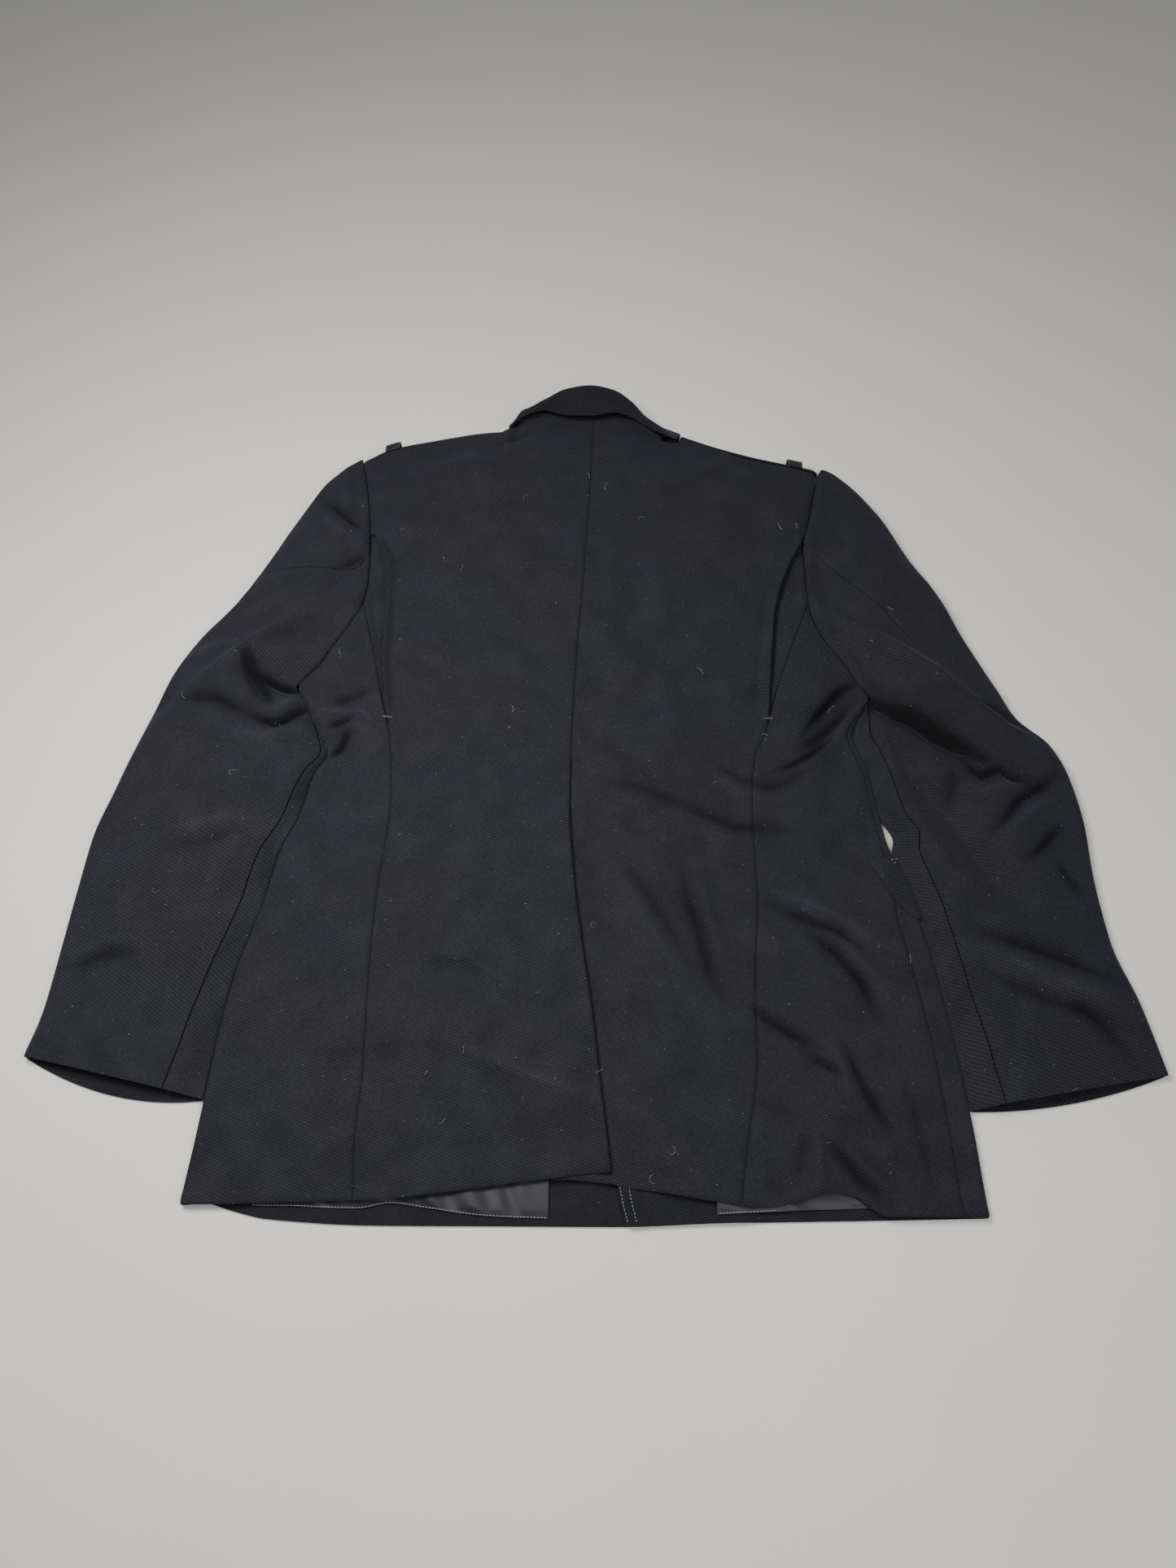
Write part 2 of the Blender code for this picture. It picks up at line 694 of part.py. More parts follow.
def turning(level, first, last, columns):
    """Shares across each row, with columns close together where the cloth turns at a side edge (path 0)."""
    start, end = first(level), last(level)
    way = np.sign(end - start)
    step = np.minimum(TURN_STEP, 0.8 * np.abs(end - start) / (len(TURN_STOPS) + columns))
    stops = np.minimum(np.array(TURN_STOPS)[:, None], (way * end)[None, :] - columns * step)
    near = [way * start] + [np.maximum(stop, way * start + step * (i + 1)) for i, stop in enumerate(stops)]
    rest = [mix(near[-1], way * end, k / columns) for k in range(1, columns + 1)]
    path = np.stack(near + rest, -1)
    return (path - path[:, :1]) / (path[:, -1:] - path[:, :1])


def pleat_fold(side, y):
    """The rolled fold of a pleat, which runs into the armhole at its top."""
    merged = ease((y - PLEAT["top"][side] + PLEAT["merge"]) / PLEAT["merge"])
    return mix(PLEAT_FOLD[side](y), ARMHOLE[side](y), merged)


def back_outer(side, y):
    """The outer edge of a back panel: the side-back seam, the pleat's fold, then the armhole."""
    sign = 1 if side == "right" else -1
    left_seam = ease((y - PLEAT["start"]) / PLEAT["leave"])
    return mix(SEAMS[side](y), pleat_fold(side, y), left_seam) - sign * GAP / 2


def back_centre(side, y):
    """The inner edge of a back panel: the centre seam, and in the right one the vent's underlap below it."""
    sign = 1 if side == "right" else -1
    edge = CENTRE["seam"](y) + sign * GAP / 2
    if side == "left":
        return edge
    below = UNDERLAP["top"] - y
    width = mix(UNDERLAP["width"], UNDERLAP["hem_width"], below / UNDERLAP["length"])
    return edge - width * ease(below / UNDERLAP["open"])


def back_hem(side, share):
    """The hem of a back panel, from its outer edge (share 0) to its inner one."""
    x = mix(float(back_outer(side, np.array(HEM_LEVEL))), float(back_centre(side, HEM_ENDS["vent"])), share)
    if side == "left":
        return BACK_HEM["y"](np.minimum(x, HEM_ENDS["left"]))
    at_vent = HEM_ENDS["right"]
    return np.where(x < at_vent, UNDERLAP_HEM["y"](x), BACK_HEM["y"](np.maximum(x, at_vent)))


def back_top(side, share):
    """The upper edge of a back panel: the shoulder seam, then the neck seam."""
    half = GAP / 2 * (1 if side == "right" else -1)
    x = mix(float(ARMHOLE[side](SHOULDER_TIP)) - half, float(CENTRE["seam"](NECK_TOP)) + half, share)
    edge = SHOULDER["edge"](x)
    seam = edge + SHOULDER_ROLL * (QUARTER - 1) - GAP if side == "left" else edge - SHOULDER_TURN - GAP
    return mix(seam, NECK["seam"](x) - GAP, ease((NECK_REACH - np.abs(x)) / NECK_BLEND))


def underlap_drop(side, x, y):
    """How far the right back lies below the left one at the vent."""
    if side == "left":
        return np.zeros_like(x)
    inside = ease((CENTRE["seam"](y) + 2 * UNDERLAP["reach"] - x) / UNDERLAP["reach"])
    return UNDERLAP["drop"] * inside * ease((UNDERLAP["top"] + UNDERLAP["lead"] - y) / UNDERLAP["ramp"])


def add_back(side, columns):
    """A back panel from the side-back seam and pleat fold to the centre seam."""
    level, across = grid(levels(side), columns)
    x, y = ruled(
        level,
        across,
        lambda share: back_hem(side, share),
        lambda share: back_top(side, share),
        lambda up: back_outer(side, up),
        lambda up: back_centre(side, up),
    )
    below = underlap_drop(side, x, y)
    path = edge_path(side, x, y)
    sheets = [body_point(side, path, y, below + depth) for depth in (0.0, SERGE)]
    add_wall("back_" + side, *sheets, serge)


def add_pleat(side):
    """The pleat's underlay, from below the back's fold out to the armhole and the side-back seam."""
    sign = 1 if side == "right" else -1
    half = GAP / 2
    rows = levels(side)
    rows = rows[(rows > PLEAT["bottom"] - PLEAT["tail"]) & (rows < PLEAT["top"][side] + PLEAT["head"])]
    y, column = grid(rows, np.arange(5))
    seam = np.where(y > SIDE_TOP + 1, ARMHOLE[side](np.maximum(y, SIDE_TOP)), SEAMS[side](y)) - sign * half
    fold = sign * np.minimum(sign * pleat_fold(side, y), sign * seam - PLEAT["least"])
    hidden = fold - sign * PLEAT["tuck"]
    halfway, lip = mix(seam, fold, 0.45), fold + sign * PLEAT["lip"]
    x = np.choose(column, [seam, halfway, lip, mix(fold, hidden, 0.5), hidden])
    width = np.clip(np.abs(seam - fold) / PLEAT["full"], 0, 1)
    under = PLEAT["drop"] + 0 * y
    drop = np.choose(column, [0 * y, PLEAT["middle"] + PLEAT["sag"] * width, under + width, under, under])
    closing = np.maximum(PLEAT["low_end"] - y, y - PLEAT["top"][side] + PLEAT["high_end"])
    drop = np.maximum(drop, under * ease(closing / PLEAT["close"]))
    path = edge_path(side, x, y)
    sheets = [body_point(side, path, y, drop + depth) for depth in (0.0, UNDERLAY)]
    add_wall("pleat_" + side, *sheets, serge)


def side_limit(side, y):
    """Where the side body ends: on the underside at the left, on top at the right, then at the armhole."""
    under, at = UNDERARM[side], SIDE_SEAM[side]
    if side == "left":
        low = -at["under"] * ease((under - y) / at["fade"])
    else:
        low = at["top"] + at["hem"] * ease((at["from"] - y) / at["ramp"])
        low = low - at["underarm"] * ease((y - under + at["fade"]) / at["fade"])
    armhole = edge_path(side, ARMHOLE[side](np.maximum(y, under)), y)
    return np.where(y < under, low, armhole)


def add_side(side, columns):
    """A side body, from the side-back seam and the armhole's lower part round to the side seam."""
    sign = 1 if side == "right" else -1
    half = GAP / 2

    def start(y):
        return side_limit(side, y) + half

    def seam(y):
        return edge_path(side, SEAMS[side](y) + sign * half, y)

    def hem(share):
        ends = (float(body_edge(side, HEM_LEVEL)), float(SEAMS[side](HEM_LEVEL)) + sign * half)
        return BACK_HEM["y"](mix(*ends, share))

    def top(share):
        return np.full_like(share, SHOULDER_LEVEL)

    rows = levels(side, top=False)
    across = turning(rows, start, seam, columns)
    level = np.broadcast_to(rows[:, None], across.shape)
    path, y = ruled(level, across, hem, top, start, seam)
    sheets = [body_point(side, path, y, np.full_like(y, depth)) for depth in (0.0, SERGE)]
    add_wall("side_" + side, *sheets, serge)


def front_grid(side, columns):
    """Paths and heights up the body over a whole front, from its side seam to its edge."""
    sign = 1 if side == "right" else -1
    half = GAP / 2
    under = UNDERARM[side]

    def outer(y):
        real = np.minimum(y, 2 * SHOULDER_FOLD[side] - y)
        armhole = -edge_path(side, ARMHOLE[side](np.maximum(real, under)) - sign * ARMHOLE_GAP, y)
        return np.where(y < under, side_limit(side, y) - half, armhole)

    def inner(y):
        return -edge_path(side, FRONT_EDGE[side](y), y)

    def hem(share):
        ends = (float(body_edge(side, HEM_LEVEL)), float(FRONT_EDGE[side](FRONT_ENDS["hem"])))
        return FRONT_HEM["y"](mix(*ends, share))

    def top(share):
        armhole = float(ARMHOLE[side](FRONT_ENDS["armhole"])) - sign * half
        x = mix(armhole, float(FRONT_EDGE[side](FRONT_ENDS["neck"])), share)
        edge = SHOULDER["edge"](x) + SHOULDER_ROLL * (QUARTER - 1)
        turn = SHOULDER_TURN + SHOULDER_ROLL * (QUARTER - 1)
        return edge + (turn - GAP if side == "right" else -2 * GAP)

    rows = levels(side)
    across = turning(rows, outer, inner, columns)
    return ruled(np.broadcast_to(rows[:, None], across.shape), across, hem, top, outer, inner)


def overlap_rise(side, path, y, reach=OVERLAP["reach"]):
    """How far the right front is lifted where it lies over the left one, to a reach past that one's edge."""
    if side == "left":
        return 0.0
    x = body_edge(side, y) - turned(path, SIDE_ROLL[side])[0]
    near = ease((FRONT_EDGE["left"](y) + reach - x) / (reach - OVERLAP["full"]))
    return OVERLAP["rise"] * near * ease((OVERLAP["end"] - y) / OVERLAP["fade"])


def add_front(side, columns):
    """A whole front, from its side seam round the side edge and under to the front edge."""
    path, y = front_grid(side, columns)
    overlap = overlap_rise(side, path, y)
    sheets = [body_point(side, path, y, np.full_like(y, depth), overlap) for depth in (0.0, SERGE)]
    add_wall("front_" + side, *sheets, serge)


def sleeve_rows(side):
    """Places down the sleeve: at the shared rows while it is sewn to the body, then evenly to the cuff."""
    fine = np.linspace(0, JOINED["until"], 401)
    heights = SLEEVES[side]["in_y"](fine)
    first, last = UNDERARM[side] + 1, SHOULDER_LEVEL - SLEEVE_ROWS["below_tip"]
    shared = [level for level in levels(side)[::-1] if first < level < last]
    sewn = np.interp(-np.array(shared), -heights, fine)
    free = np.linspace(JOINED["until"], 1, SLEEVE_ROWS["free"])
    return np.concatenate([[0.0], sewn, free])


def between(start, end, groups, least):
    """Columns from start down to end in every row: groups are counts of even steps and lists of set places.

    Set places give way to the start and the end, so that the columns always keep the least width.
    """
    total = sum(group if isinstance(group, int) else len(group) for group in groups) + 1
    known = {0: start, total: end}
    number = 0
    for group in groups:
        if isinstance(group, int):
            number += group
            continue
        for place in group:
            number += 1
            known[number] = np.clip(place, end + least * (total - number), start - least * number)
    found = sorted(known)
    columns = []
    for number in range(total + 1):
        after = next(k for k in found if k >= number)
        before = max(k for k in found if k <= number)
        share = 0 if after == before else (number - before) / (after - before)
        columns.append(mix(known[before], known[after], share))
    return np.stack(columns, -1)


def add_sleeve(side, top_columns, under_columns):
    """Both pieces of a sleeve, met at the hindarm and forearm seams."""
    down = sleeve_rows(side)
    length = np.abs(SLEEVES[side]["out_x"](down) - SLEEVES[side]["in_x"](down))
    length = np.maximum(length, 2 * SLEEVE_ROLL)
    half = SLEEVE_GAP / length
    least = np.minimum(SLEEVE_STEP / length, 0.03)
    fore = (FORE_SEAM[side]["inset"](down) + (QUARTER - 1) * INNER_ROLL[side]) / length
    free = down >= JOINED["until"]
    hind = HIND_SEAM[side]["across"](down)
    first = int(np.argmax(down > HIND_START - 1e-6))
    outer_turn = np.minimum(QUARTER * SLEEVE_ROLL / length, 0.3)
    inner_turn = np.minimum(QUARTER * INNER_ROLL[side] / length, 0.3)

    end = np.where(free, 1 - fore - half, 1 - half)
    slant = 3 * half * (1 + 4 * np.abs(np.gradient(hind)))
    begin = np.minimum(hind + slant, end - 0.03)
    start = np.where(np.arange(len(down)) < first, 1 - half, begin - slant)
    lower_end = np.where(free, -1 - fore + half, -1 + half)
    outer_stops = [outer_turn, outer_turn / 2, 0 * down, -outer_turn / 2, -outer_turn]
    inner_stops = [-1 + inner_turn, -1 + inner_turn / 2, -1 + 0 * down, -1 - inner_turn / 2, -1 - inner_turn]
    across = between(start, lower_end, (1, outer_stops, top_columns, inner_stops), least)
    add_sleeve_piece(f"sleeve_{side}_top", side, down, across)

    rows = slice(first, None)
    stops = [1 - inner_turn / 2, 1 - inner_turn], [outer_turn, outer_turn / 2]
    across = between(end, begin, (stops[0], under_columns, stops[1]), least / 3)
    add_sleeve_piece(f"sleeve_{side}_under", side, down[rows], across[rows])


def add_sleeve_piece(name, side, down, across):
    """The wall of one piece of a sleeve, given its rungs and its columns across them."""
    rungs = np.broadcast_to(down[:, None], across.shape)
    zero = np.zeros(across.shape)
    sheets = [sleeve_point(side, rungs, across, zero + depth) for depth in (0.0, SERGE)]
    add_wall(name, *sheets, serge)


# The right hip flap: up runs from its top (0) to its free bottom edge (1)

FLAP = {"top": -115.0, "bottom": -172.0, "front": -158.0, "slope": 0.04, "least": 1.2, "clear": 0.9}
FLAP_REAR = table("up path", (0.0, 25), (0.25, 25), (0.5, 23), (0.75, 18), (1.0, 6))

# The collar, a row for each section from its left front end round the neck to its right one

COLLAR_SECTIONS = np.array(
    (
        ((-72, 300, 1.7), (-70, 301, 1.5), (-104, 312, 1.2)),
        ((-76, 328, 1.9), (-71, 331, 1.3), (-108, 340, 1.2)),
        ((-79, 348, 2.2), (-73, 354, 1.8), (-91, 350, 1.3)),
        ((-81, 372, 9.5), (-77, 382, 9.5), (-88, 380, 13.0)),
        ((-78, 381, 21.0), (-74, 390, 24.0), (-84, 366, 28.5)),
        ((-67, 388, 22.0), (-64, 393, 27.0), (-72, 377.5, 31.0)),
        ((-52, 391, 22.5), (-48, 402, 29.0), (-51, 383, 33.5)),
        ((-28, 387, 22.5), (-27, 416, 29.0), (-27, 376.5, 34.0)),
        ((0, 387, 22.5), (-3, 421, 29.0), (0, 376, 34.0)),
        ((22, 391, 22.5), (23, 414, 29.0), (23, 379.5, 34.0)),
        ((38, 388, 22.0), (41, 399, 28.5), (41, 374, 33.5)),
        ((54, 374, 22.0), (56, 379, 27.0), (60, 360, 32.0)),
        ((68, 364, 20.0), (71, 369, 22.5), (81, 347, 28.0)),
        ((76, 368, 10.0), (73, 376, 9.5), (86, 370, 12.5)),
        ((70, 346, 2.2), (66, 352, 1.8), (88, 345, 1.3)),
        ((68, 325, 1.9), (64, 328, 1.3), (106, 338, 1.2)),
        ((68, 296, 1.7), (66, 297, 1.5), (100, 308, 1.2)),
    ),
    float,
)

COLLAR_BULGE = 3.0         # swell of the fall behind the neck
COLLAR_LIFTED = 5.5        # in this many sections to each side of the middle


def add_collar(rows, columns):
    """A sheet through the neck seam, the roll and the free edge of each section, given its thickness."""
    count = len(COLLAR_SECTIONS)
    along = np.linspace(0, count - 1, rows + 1)
    share = np.linspace(0, 1, columns + 1)
    knots = np.arange(count)

    def line(part):
        return np.stack([smooth_curve(knots, COLLAR_SECTIONS[:, part, i])(along) for i in range(3)], -1)

    seam, roll, edge = line(0), line(1), line(2)
    bulge = np.array([0.0, 0.0, COLLAR_BULGE])
    s = share[None, :, None]
    first = (1 - s) ** 2 * seam[:, None] + s * s * edge[:, None]
    middle = 2 * roll - (seam + edge) / 2
    sheet = first + 2 * s * (1 - s) * middle[:, None]
    lift = ease(1 - np.abs(along - (count - 1) / 2) / COLLAR_LIFTED)[:, None, None]
    sheet = sheet + bulge * np.sin(np.pi * s) * s * lift
    way = np.gradient(sheet, axis=0)
    round_way = np.gradient(sheet, axis=1)
    normal = np.cross(way, round_way)
    normal /= np.linalg.norm(normal, axis=-1, keepdims=True)
    add_wall("collar", sheet + normal * COLLAR / 2, sheet - normal * COLLAR / 2, serge)


def add_plate(name, corners, low, high, material, steps=1):
    """A flat piece of cloth between four corners, from one height to another."""
    up, across = grid(steps, steps)
    a, b, c, d = (np.array(corner, float) for corner in corners)
    plan = mix(mix(a, b, across[..., None]), mix(d, c, across[..., None]), up[..., None])
    top = np.concatenate([plan, np.full((*plan.shape[:2], 1), high)], -1)
    bottom = np.concatenate([plan, np.full((*plan.shape[:2], 1), low)], -1)
    return add_wall(name, top, bottom, material)


def add_flap_right():
    """The right hip flap: its mitred rear end comes round the side edge onto the upper side."""
    rows = np.linspace(0, 1, 6)
    across = turning(rows, FLAP_REAR["path"], lambda up: np.full_like(up, FLAP["front"]), 8)
    up = np.broadcast_to(rows[:, None], across.shape)
    rear = FLAP_REAR["path"](up)
    path = mix(rear, FLAP["front"], across)
    y = mix(FLAP["top"], FLAP["bottom"], up) + FLAP["slope"] * (path - rear)
    outer = body_point("right", path, y, np.full_like(y, -(FLAP["clear"] + SERGE)))
    inner = body_point("right", path, y, np.full_like(y, -FLAP["clear"]))
    below = path < TURN_STOPS[0] / 2
    outer[..., 2] = np.maximum(outer[..., 2], 0.0)
    inner[..., 2] = np.where(below, np.maximum(inner[..., 2], outer[..., 2] + FLAP["least"]), inner[..., 2])
    add_wall("flap_right", outer, inner, serge)


def add_loops():
    """The strap loops: a ribbon that starts and ends on the shoulder and stands off its edge."""
    for side, middle in LOOP["middle"].items():
        up, across = grid(8, 1)
        x = middle + (across - 0.5) * LOOP["width"]
        over = mix(*LOOP["over"], up)
        height = SHOULDER["edge"](x) + SHOULDER_ROLL * (QUARTER - 1) - over
        stand = LOOP["clear"] + LOOP["reach"] * np.sin(np.pi * up) ** 1.2
        path = edge_path(side, x, height)
        outer = body_point(side, path, height, -(stand + LOOP["wall"]))
        inner = body_point(side, path, height, -stand)
        add_wall("loop_" + side, outer, inner, ribbon)


def add_lining(side, rows, columns):
    """The satin that shows over the inside of a front at the hem."""
    up, across = grid(rows, columns)
    x = mix(*LINING_SPAN[side], across)
    low = FRONT_HEM["y"](x) + LINING_INSET[side]["inset"](x)
    y = mix(low, LINING_TOP, up)
    path = -edge_path(side, x, y)
    depth = np.full_like(y, SERGE + GAP)
    overlap = overlap_rise(side, path, y, LINING_REACH)
    inner = body_point(side, path, y, depth, overlap)
    outer = body_point(side, path, y, depth + SATIN, overlap)
    add_wall("lining_" + side, outer, inner, satin)


def add_buttons():
    """Four buttons that lie face down along the front's edge, with their rims rounded."""
    for number, y in enumerate(BUTTON["places"], 1):
        centre = float(FRONT_EDGE["left"](y) + FRONT_EDGE["right"](y)) / 2
        bpy.ops.mesh.primitive_cylinder_add(
            vertices=16, radius=BUTTON["radius"] * MM, depth=BUTTON["height"] * MM
        )
        button = bpy.context.active_object
        button.name = f"button_{number}"
        button.location = ((centre + PLACE[0]) * MM, (y + PLACE[1]) * MM, BUTTON["height"] / 2 * MM)
        edge = button.modifiers.new("rounded", "BEVEL")
        edge.width = BUTTON["rounding"] * MM
        edge.segments = 1
        button.data.materials.append(metal)
        for home in list(button.users_collection):
            home.objects.unlink(button)
        tunic.objects.link(button)


for old in list(bpy.data.objects):
    bpy.data.objects.remove(old, do_unlink=True)
tunic = bpy.data.collections.new("police_dress_tunic")
bpy.context.scene.collection.children.link(tunic)
serge = new_material("navy_serge", (0.018, 0.021, 0.032), 0.85)
satin = new_material("lining_satin", (0.035, 0.037, 0.045), 0.38)
ribbon = new_material("loop_ribbon", (0.008, 0.008, 0.010), 0.32)
metal = new_material("button_metal", (0.55, 0.56, 0.58), 0.3, 1.0)

for hand in ("left", "right"):
    add_back(hand, 8)
    add_pleat(hand)
    add_side(hand, 5)
    add_front(hand, 6)
    add_sleeve(hand, 3, 3)
add_collar(36, 5)
add_plate("lapel_left", LAPELS["left"], 0.0, LIFT["lapels"] - GAP, serge)
add_plate("lapel_right", LAPELS["right"], 0.0, LIFT["lapels"] - GAP, serge)
add_plate("flap_left", FLAP_LEFT, 0.0, LIFT["flaps"] - GAP, serge)
add_flap_right()
add_loops()
add_lining("left", 4, 14)
add_lining("right", 4, 8)
add_buttons()
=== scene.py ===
"""Police dress tunic, laid face down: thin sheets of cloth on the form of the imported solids.

Lengths in the tables are millimetres. +X is to the right of a viewer at the hem, +Y runs to the collar.
"""

import math

import bpy
import numpy as np
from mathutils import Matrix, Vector


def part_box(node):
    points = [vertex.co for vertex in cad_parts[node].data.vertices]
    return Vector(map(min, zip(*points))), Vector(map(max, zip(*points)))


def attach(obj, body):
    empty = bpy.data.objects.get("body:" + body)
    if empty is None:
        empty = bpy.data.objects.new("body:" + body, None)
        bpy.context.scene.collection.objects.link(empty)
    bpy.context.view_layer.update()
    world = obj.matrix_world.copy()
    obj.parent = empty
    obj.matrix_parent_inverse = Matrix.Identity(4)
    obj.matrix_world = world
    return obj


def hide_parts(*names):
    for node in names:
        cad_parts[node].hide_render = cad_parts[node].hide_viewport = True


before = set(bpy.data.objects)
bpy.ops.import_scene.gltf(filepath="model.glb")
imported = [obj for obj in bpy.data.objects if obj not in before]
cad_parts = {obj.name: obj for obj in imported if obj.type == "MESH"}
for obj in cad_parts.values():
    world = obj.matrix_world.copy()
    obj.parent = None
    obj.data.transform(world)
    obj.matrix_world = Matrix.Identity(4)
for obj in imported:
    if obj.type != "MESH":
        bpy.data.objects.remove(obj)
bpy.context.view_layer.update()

MM = 0.001
PLACE = (-0.5, -2.35)      # moves the finished garment so that its box is centred on the origin
SERGE = 1.8                # wall of the wool cloth, with its canvas or seam turnings
COLLAR = 2.2               # wall of the collar, with its canvas
GAP = 0.3                  # between pieces at a seam
SLEEVE_GAP = 0.45          # half the gap at a sleeve's seams, where the cloth curves most
ARMHOLE_GAP = 0.6          # from the line of the armhole to the fronts, whose rows are not level there
SIDE_ROLL = {"left": 3.0, "right": 4.5}     # radius at which cloth turns under at the side edges
SHOULDER_ROLL = 8.5        # and over the padded shoulders
SLEEVE_ROLL = 6.0          # and at a sleeve's outer edge
INNER_ROLL = {"left": 3.0, "right": 5.0}    # and at its inner edge
BESIDE = {"left": 0.2, "right": -0.4}        # from the body's edge to the sleeve's inner edge
SHOULDER_TURN = 8.0        # the right front comes over the shoulder edge by this much
SHOULDER_FOLD = {"left": 345.0, "right": 323.0}   # up the armhole, where a front comes over to the back
UNDERARM = {"left": 57.0, "right": 44.0}
HEM_LEVEL, SIDE_TOP, SHOULDER_LEVEL = -400.0, 146.0, 318.0
HEM_FADE = 200.0           # the hem's own line is lost in level rows this far above it
BREAK = 80.0               # the place up the front where the lapels turn back
SHOULDER_TIP = 330.0       # up the body, where the side edges end and the sleeves start
NECK_TOP = 384.0           # the centre seam's upper end
NECK_BLEND = 10.0          # the shoulder's line runs into the neck seam over this width
HEM_ENDS = {"vent": -382.0, "left": 12.9, "right": 15.0}      # where the back hems end at the vent
FRONT_ENDS = {"armhole": 340.0, "neck": 365.0, "hem": -415.0}
OVERLAP = {"rise": 3.0, "reach": 64.0, "full": 40.0, "end": 250.0, "fade": 60.0}      # right front on left
QUARTER = math.pi / 2
SIGN = {"left": -1, "right": 1}      # which way is outwards
LOOP = {
    "middle": {"left": -208.5, "right": 210.5},
    "width": 14.0,
    "over": (12.0, -8.0),  # where the ribbon starts and ends, in from the shoulder's edge
    "clear": 0.6,          # off the cloth at its ends
    "reach": 5.5,          # and by this much more at the middle of its bow
    "roundness": 1.2,
    "rib": 0.18,           # height of its woven ribs
    "ribs": 3,
    "grid": (41, 11),
}


def smooth_curve(knots, values):
    """A smooth curve through the values that never overshoots them, and stays level past both ends."""
    order = np.argsort(knots)
    knots, values = np.array(knots, float)[order], np.array(values, float)[order]
    steps = np.diff(knots)
    slopes = np.diff(values) / steps
    tangents = np.zeros_like(values)
    before, after = slopes[:-1], slopes[1:]
    alike = before * after > 0
    safe = np.where(alike, before + after, 1.0)
    tangents[1:-1] = np.where(alike, 2 * before * after / safe, 0.0)
    tangents[0], tangents[-1] = slopes[0], slopes[-1]

    def curve(at):
        at = np.clip(at, knots[0], knots[-1])
        i = np.clip(np.searchsorted(knots, at) - 1, 0, len(steps) - 1)
        s = (at - knots[i]) / steps[i]
        start = values[i] * (1 + 2 * s) * (1 - s) ** 2 + tangents[i] * steps[i] * s * (1 - s) ** 2
        return start + values[i + 1] * s * s * (3 - 2 * s) + tangents[i + 1] * steps[i] * s * s * (s - 1)

    return curve


def table(columns, *rows):
    """Named curves over the first column."""
    names = columns.split()
    read = np.array(rows, float)
    return {name: smooth_curve(read[:, 0], read[:, i]) for i, name in enumerate(names) if i}


def ease(amount):
    s = np.clip(amount, 0.0, 1.0)
    return s * s * (3 - 2 * s)


def mix(a, b, share):
    return a * (1 - share) + b * share


# Outlines and heights

BODY = table(
    "y left_edge right_edge crown rim",
    (-420, -318, 302, 9.5, 7.5),
    (-398, -316, 300.5, 10, 7.5),
    (-353, -312, 299, 11.5, 8),
    (-286, -307, 294.5, 13, 8),
    (-231, -301, 288, 14, 8.5),
    (-155, -283, 275, 15, 9),
    (-107, -274, 260, 16, 9),
    (-75, -262, 255, 17, 9),
    (-33, -253, 250, 18, 9.5),
    (-12, -243, 244, 19, 10),
    (4, -248, 239, 20, 10),
    (16, -253, 242, 20.5, 10.5),
    (30, -261, 250, 21.5, 11),
    (44, -269, 259, 22.5, 12),
    (57, -277, 268, 23.5, 13),
    (100, -292, 288, 27, 18),
    (160, -300, 300, 31, 20),
    (230, -300, 300, 33, 20),
    (300, -300, 300, 33, 20),
    (440, -300, 300, 30, 20),
)
SEAMS = table(
    "y left right",
    (-420, -184, 111),
    (-399, -184, 113),
    (-350, -186, 121.5),
    (-297, -184.5, 131),
    (-228, -186, 134),
    (-150, -185, 140.5),
    (-63, -180, 141.5),
    (-20, -183, 147),
    (10, -187.5, 159.5),
    (39, -195, 168),
    (72, -202.5, 179),
    (102, -209.5, 191),
    (147, -222, 209),
)
CENTRE = table(
    "y seam",
    (-420, 15),
    (-377, 13),
    (-308, 5),
    (-253, -1),
    (-190, -10),
    (-129, -17),
    (-71, -20.5),
    (0, -19),
    (83, -15),
    (153, -10),
    (230, -5),
    (310, -1),
    (400, 3.5),
)
ARMHOLE = table(
    "y left right",
    (44, -286, 259),
    (57, -277, 251),
    (80, -258, 237.5),
    (105, -243, 221),
    (125, -232, 212),
    (150, -222, 208),
    (177, -219, 208),
    (208, -220, 208),
    (250, -224, 218),
    (285, -229, 226.5),
    (308, -234, 232),
    (322, -237, 235.4),
    (345, -238, 235.8),
)
PLEAT_FOLD = table(
    "y left right",
    (-60, -176, 141),
    (22, -189, 161.5),
    (60, -195, 165.5),
    (83, -197, 168),
    (131, -197.5, 174),
    (161, -198, 182),
    (190, -201, 194),
    (212, -210, 205.5),
    (232, -221, 212.5),
)
PLEAT = {
    "bottom": 22.0,
    "top": {"left": 232.0, "right": 230.0},
    "tail": 12.0,          # the underlay runs on below the pleat by this much
    "head": 6.0,           # and above it by this much
    "start": 8.0,          # the fold leaves the side-back seam here
    "leave": 14.0,         # within this height
    "merge": 12.0,         # and runs into the armhole within this height
    "tuck": 20.0,          # of the underlay below the fold
    "thick": 1.3,
    "drop": 2.6,           # from the back's outside to the underlay below it
    "middle": 1.0,         # halfway, as much lower than the seam
    "sag": 3.0,            # and this much more where the pleat is as wide as full
    "full": 20.0,
    "halfway": (0.45, 0.5),        # across the pleat: the end of the first slope and the width of the second
    "tucked": (0.7, 0.2),          # across the underlay: from here it lies level, within this share
    "low_end": 62.0,       # below this, and above the next length under the top, the underlay goes deep
    "high_end": 36.0,
    "close": 16.0,
    "least": 0.4,
    "rows": 2.0,
    "columns": (46, 2.0),  # the width that the columns are set for, and their step
}
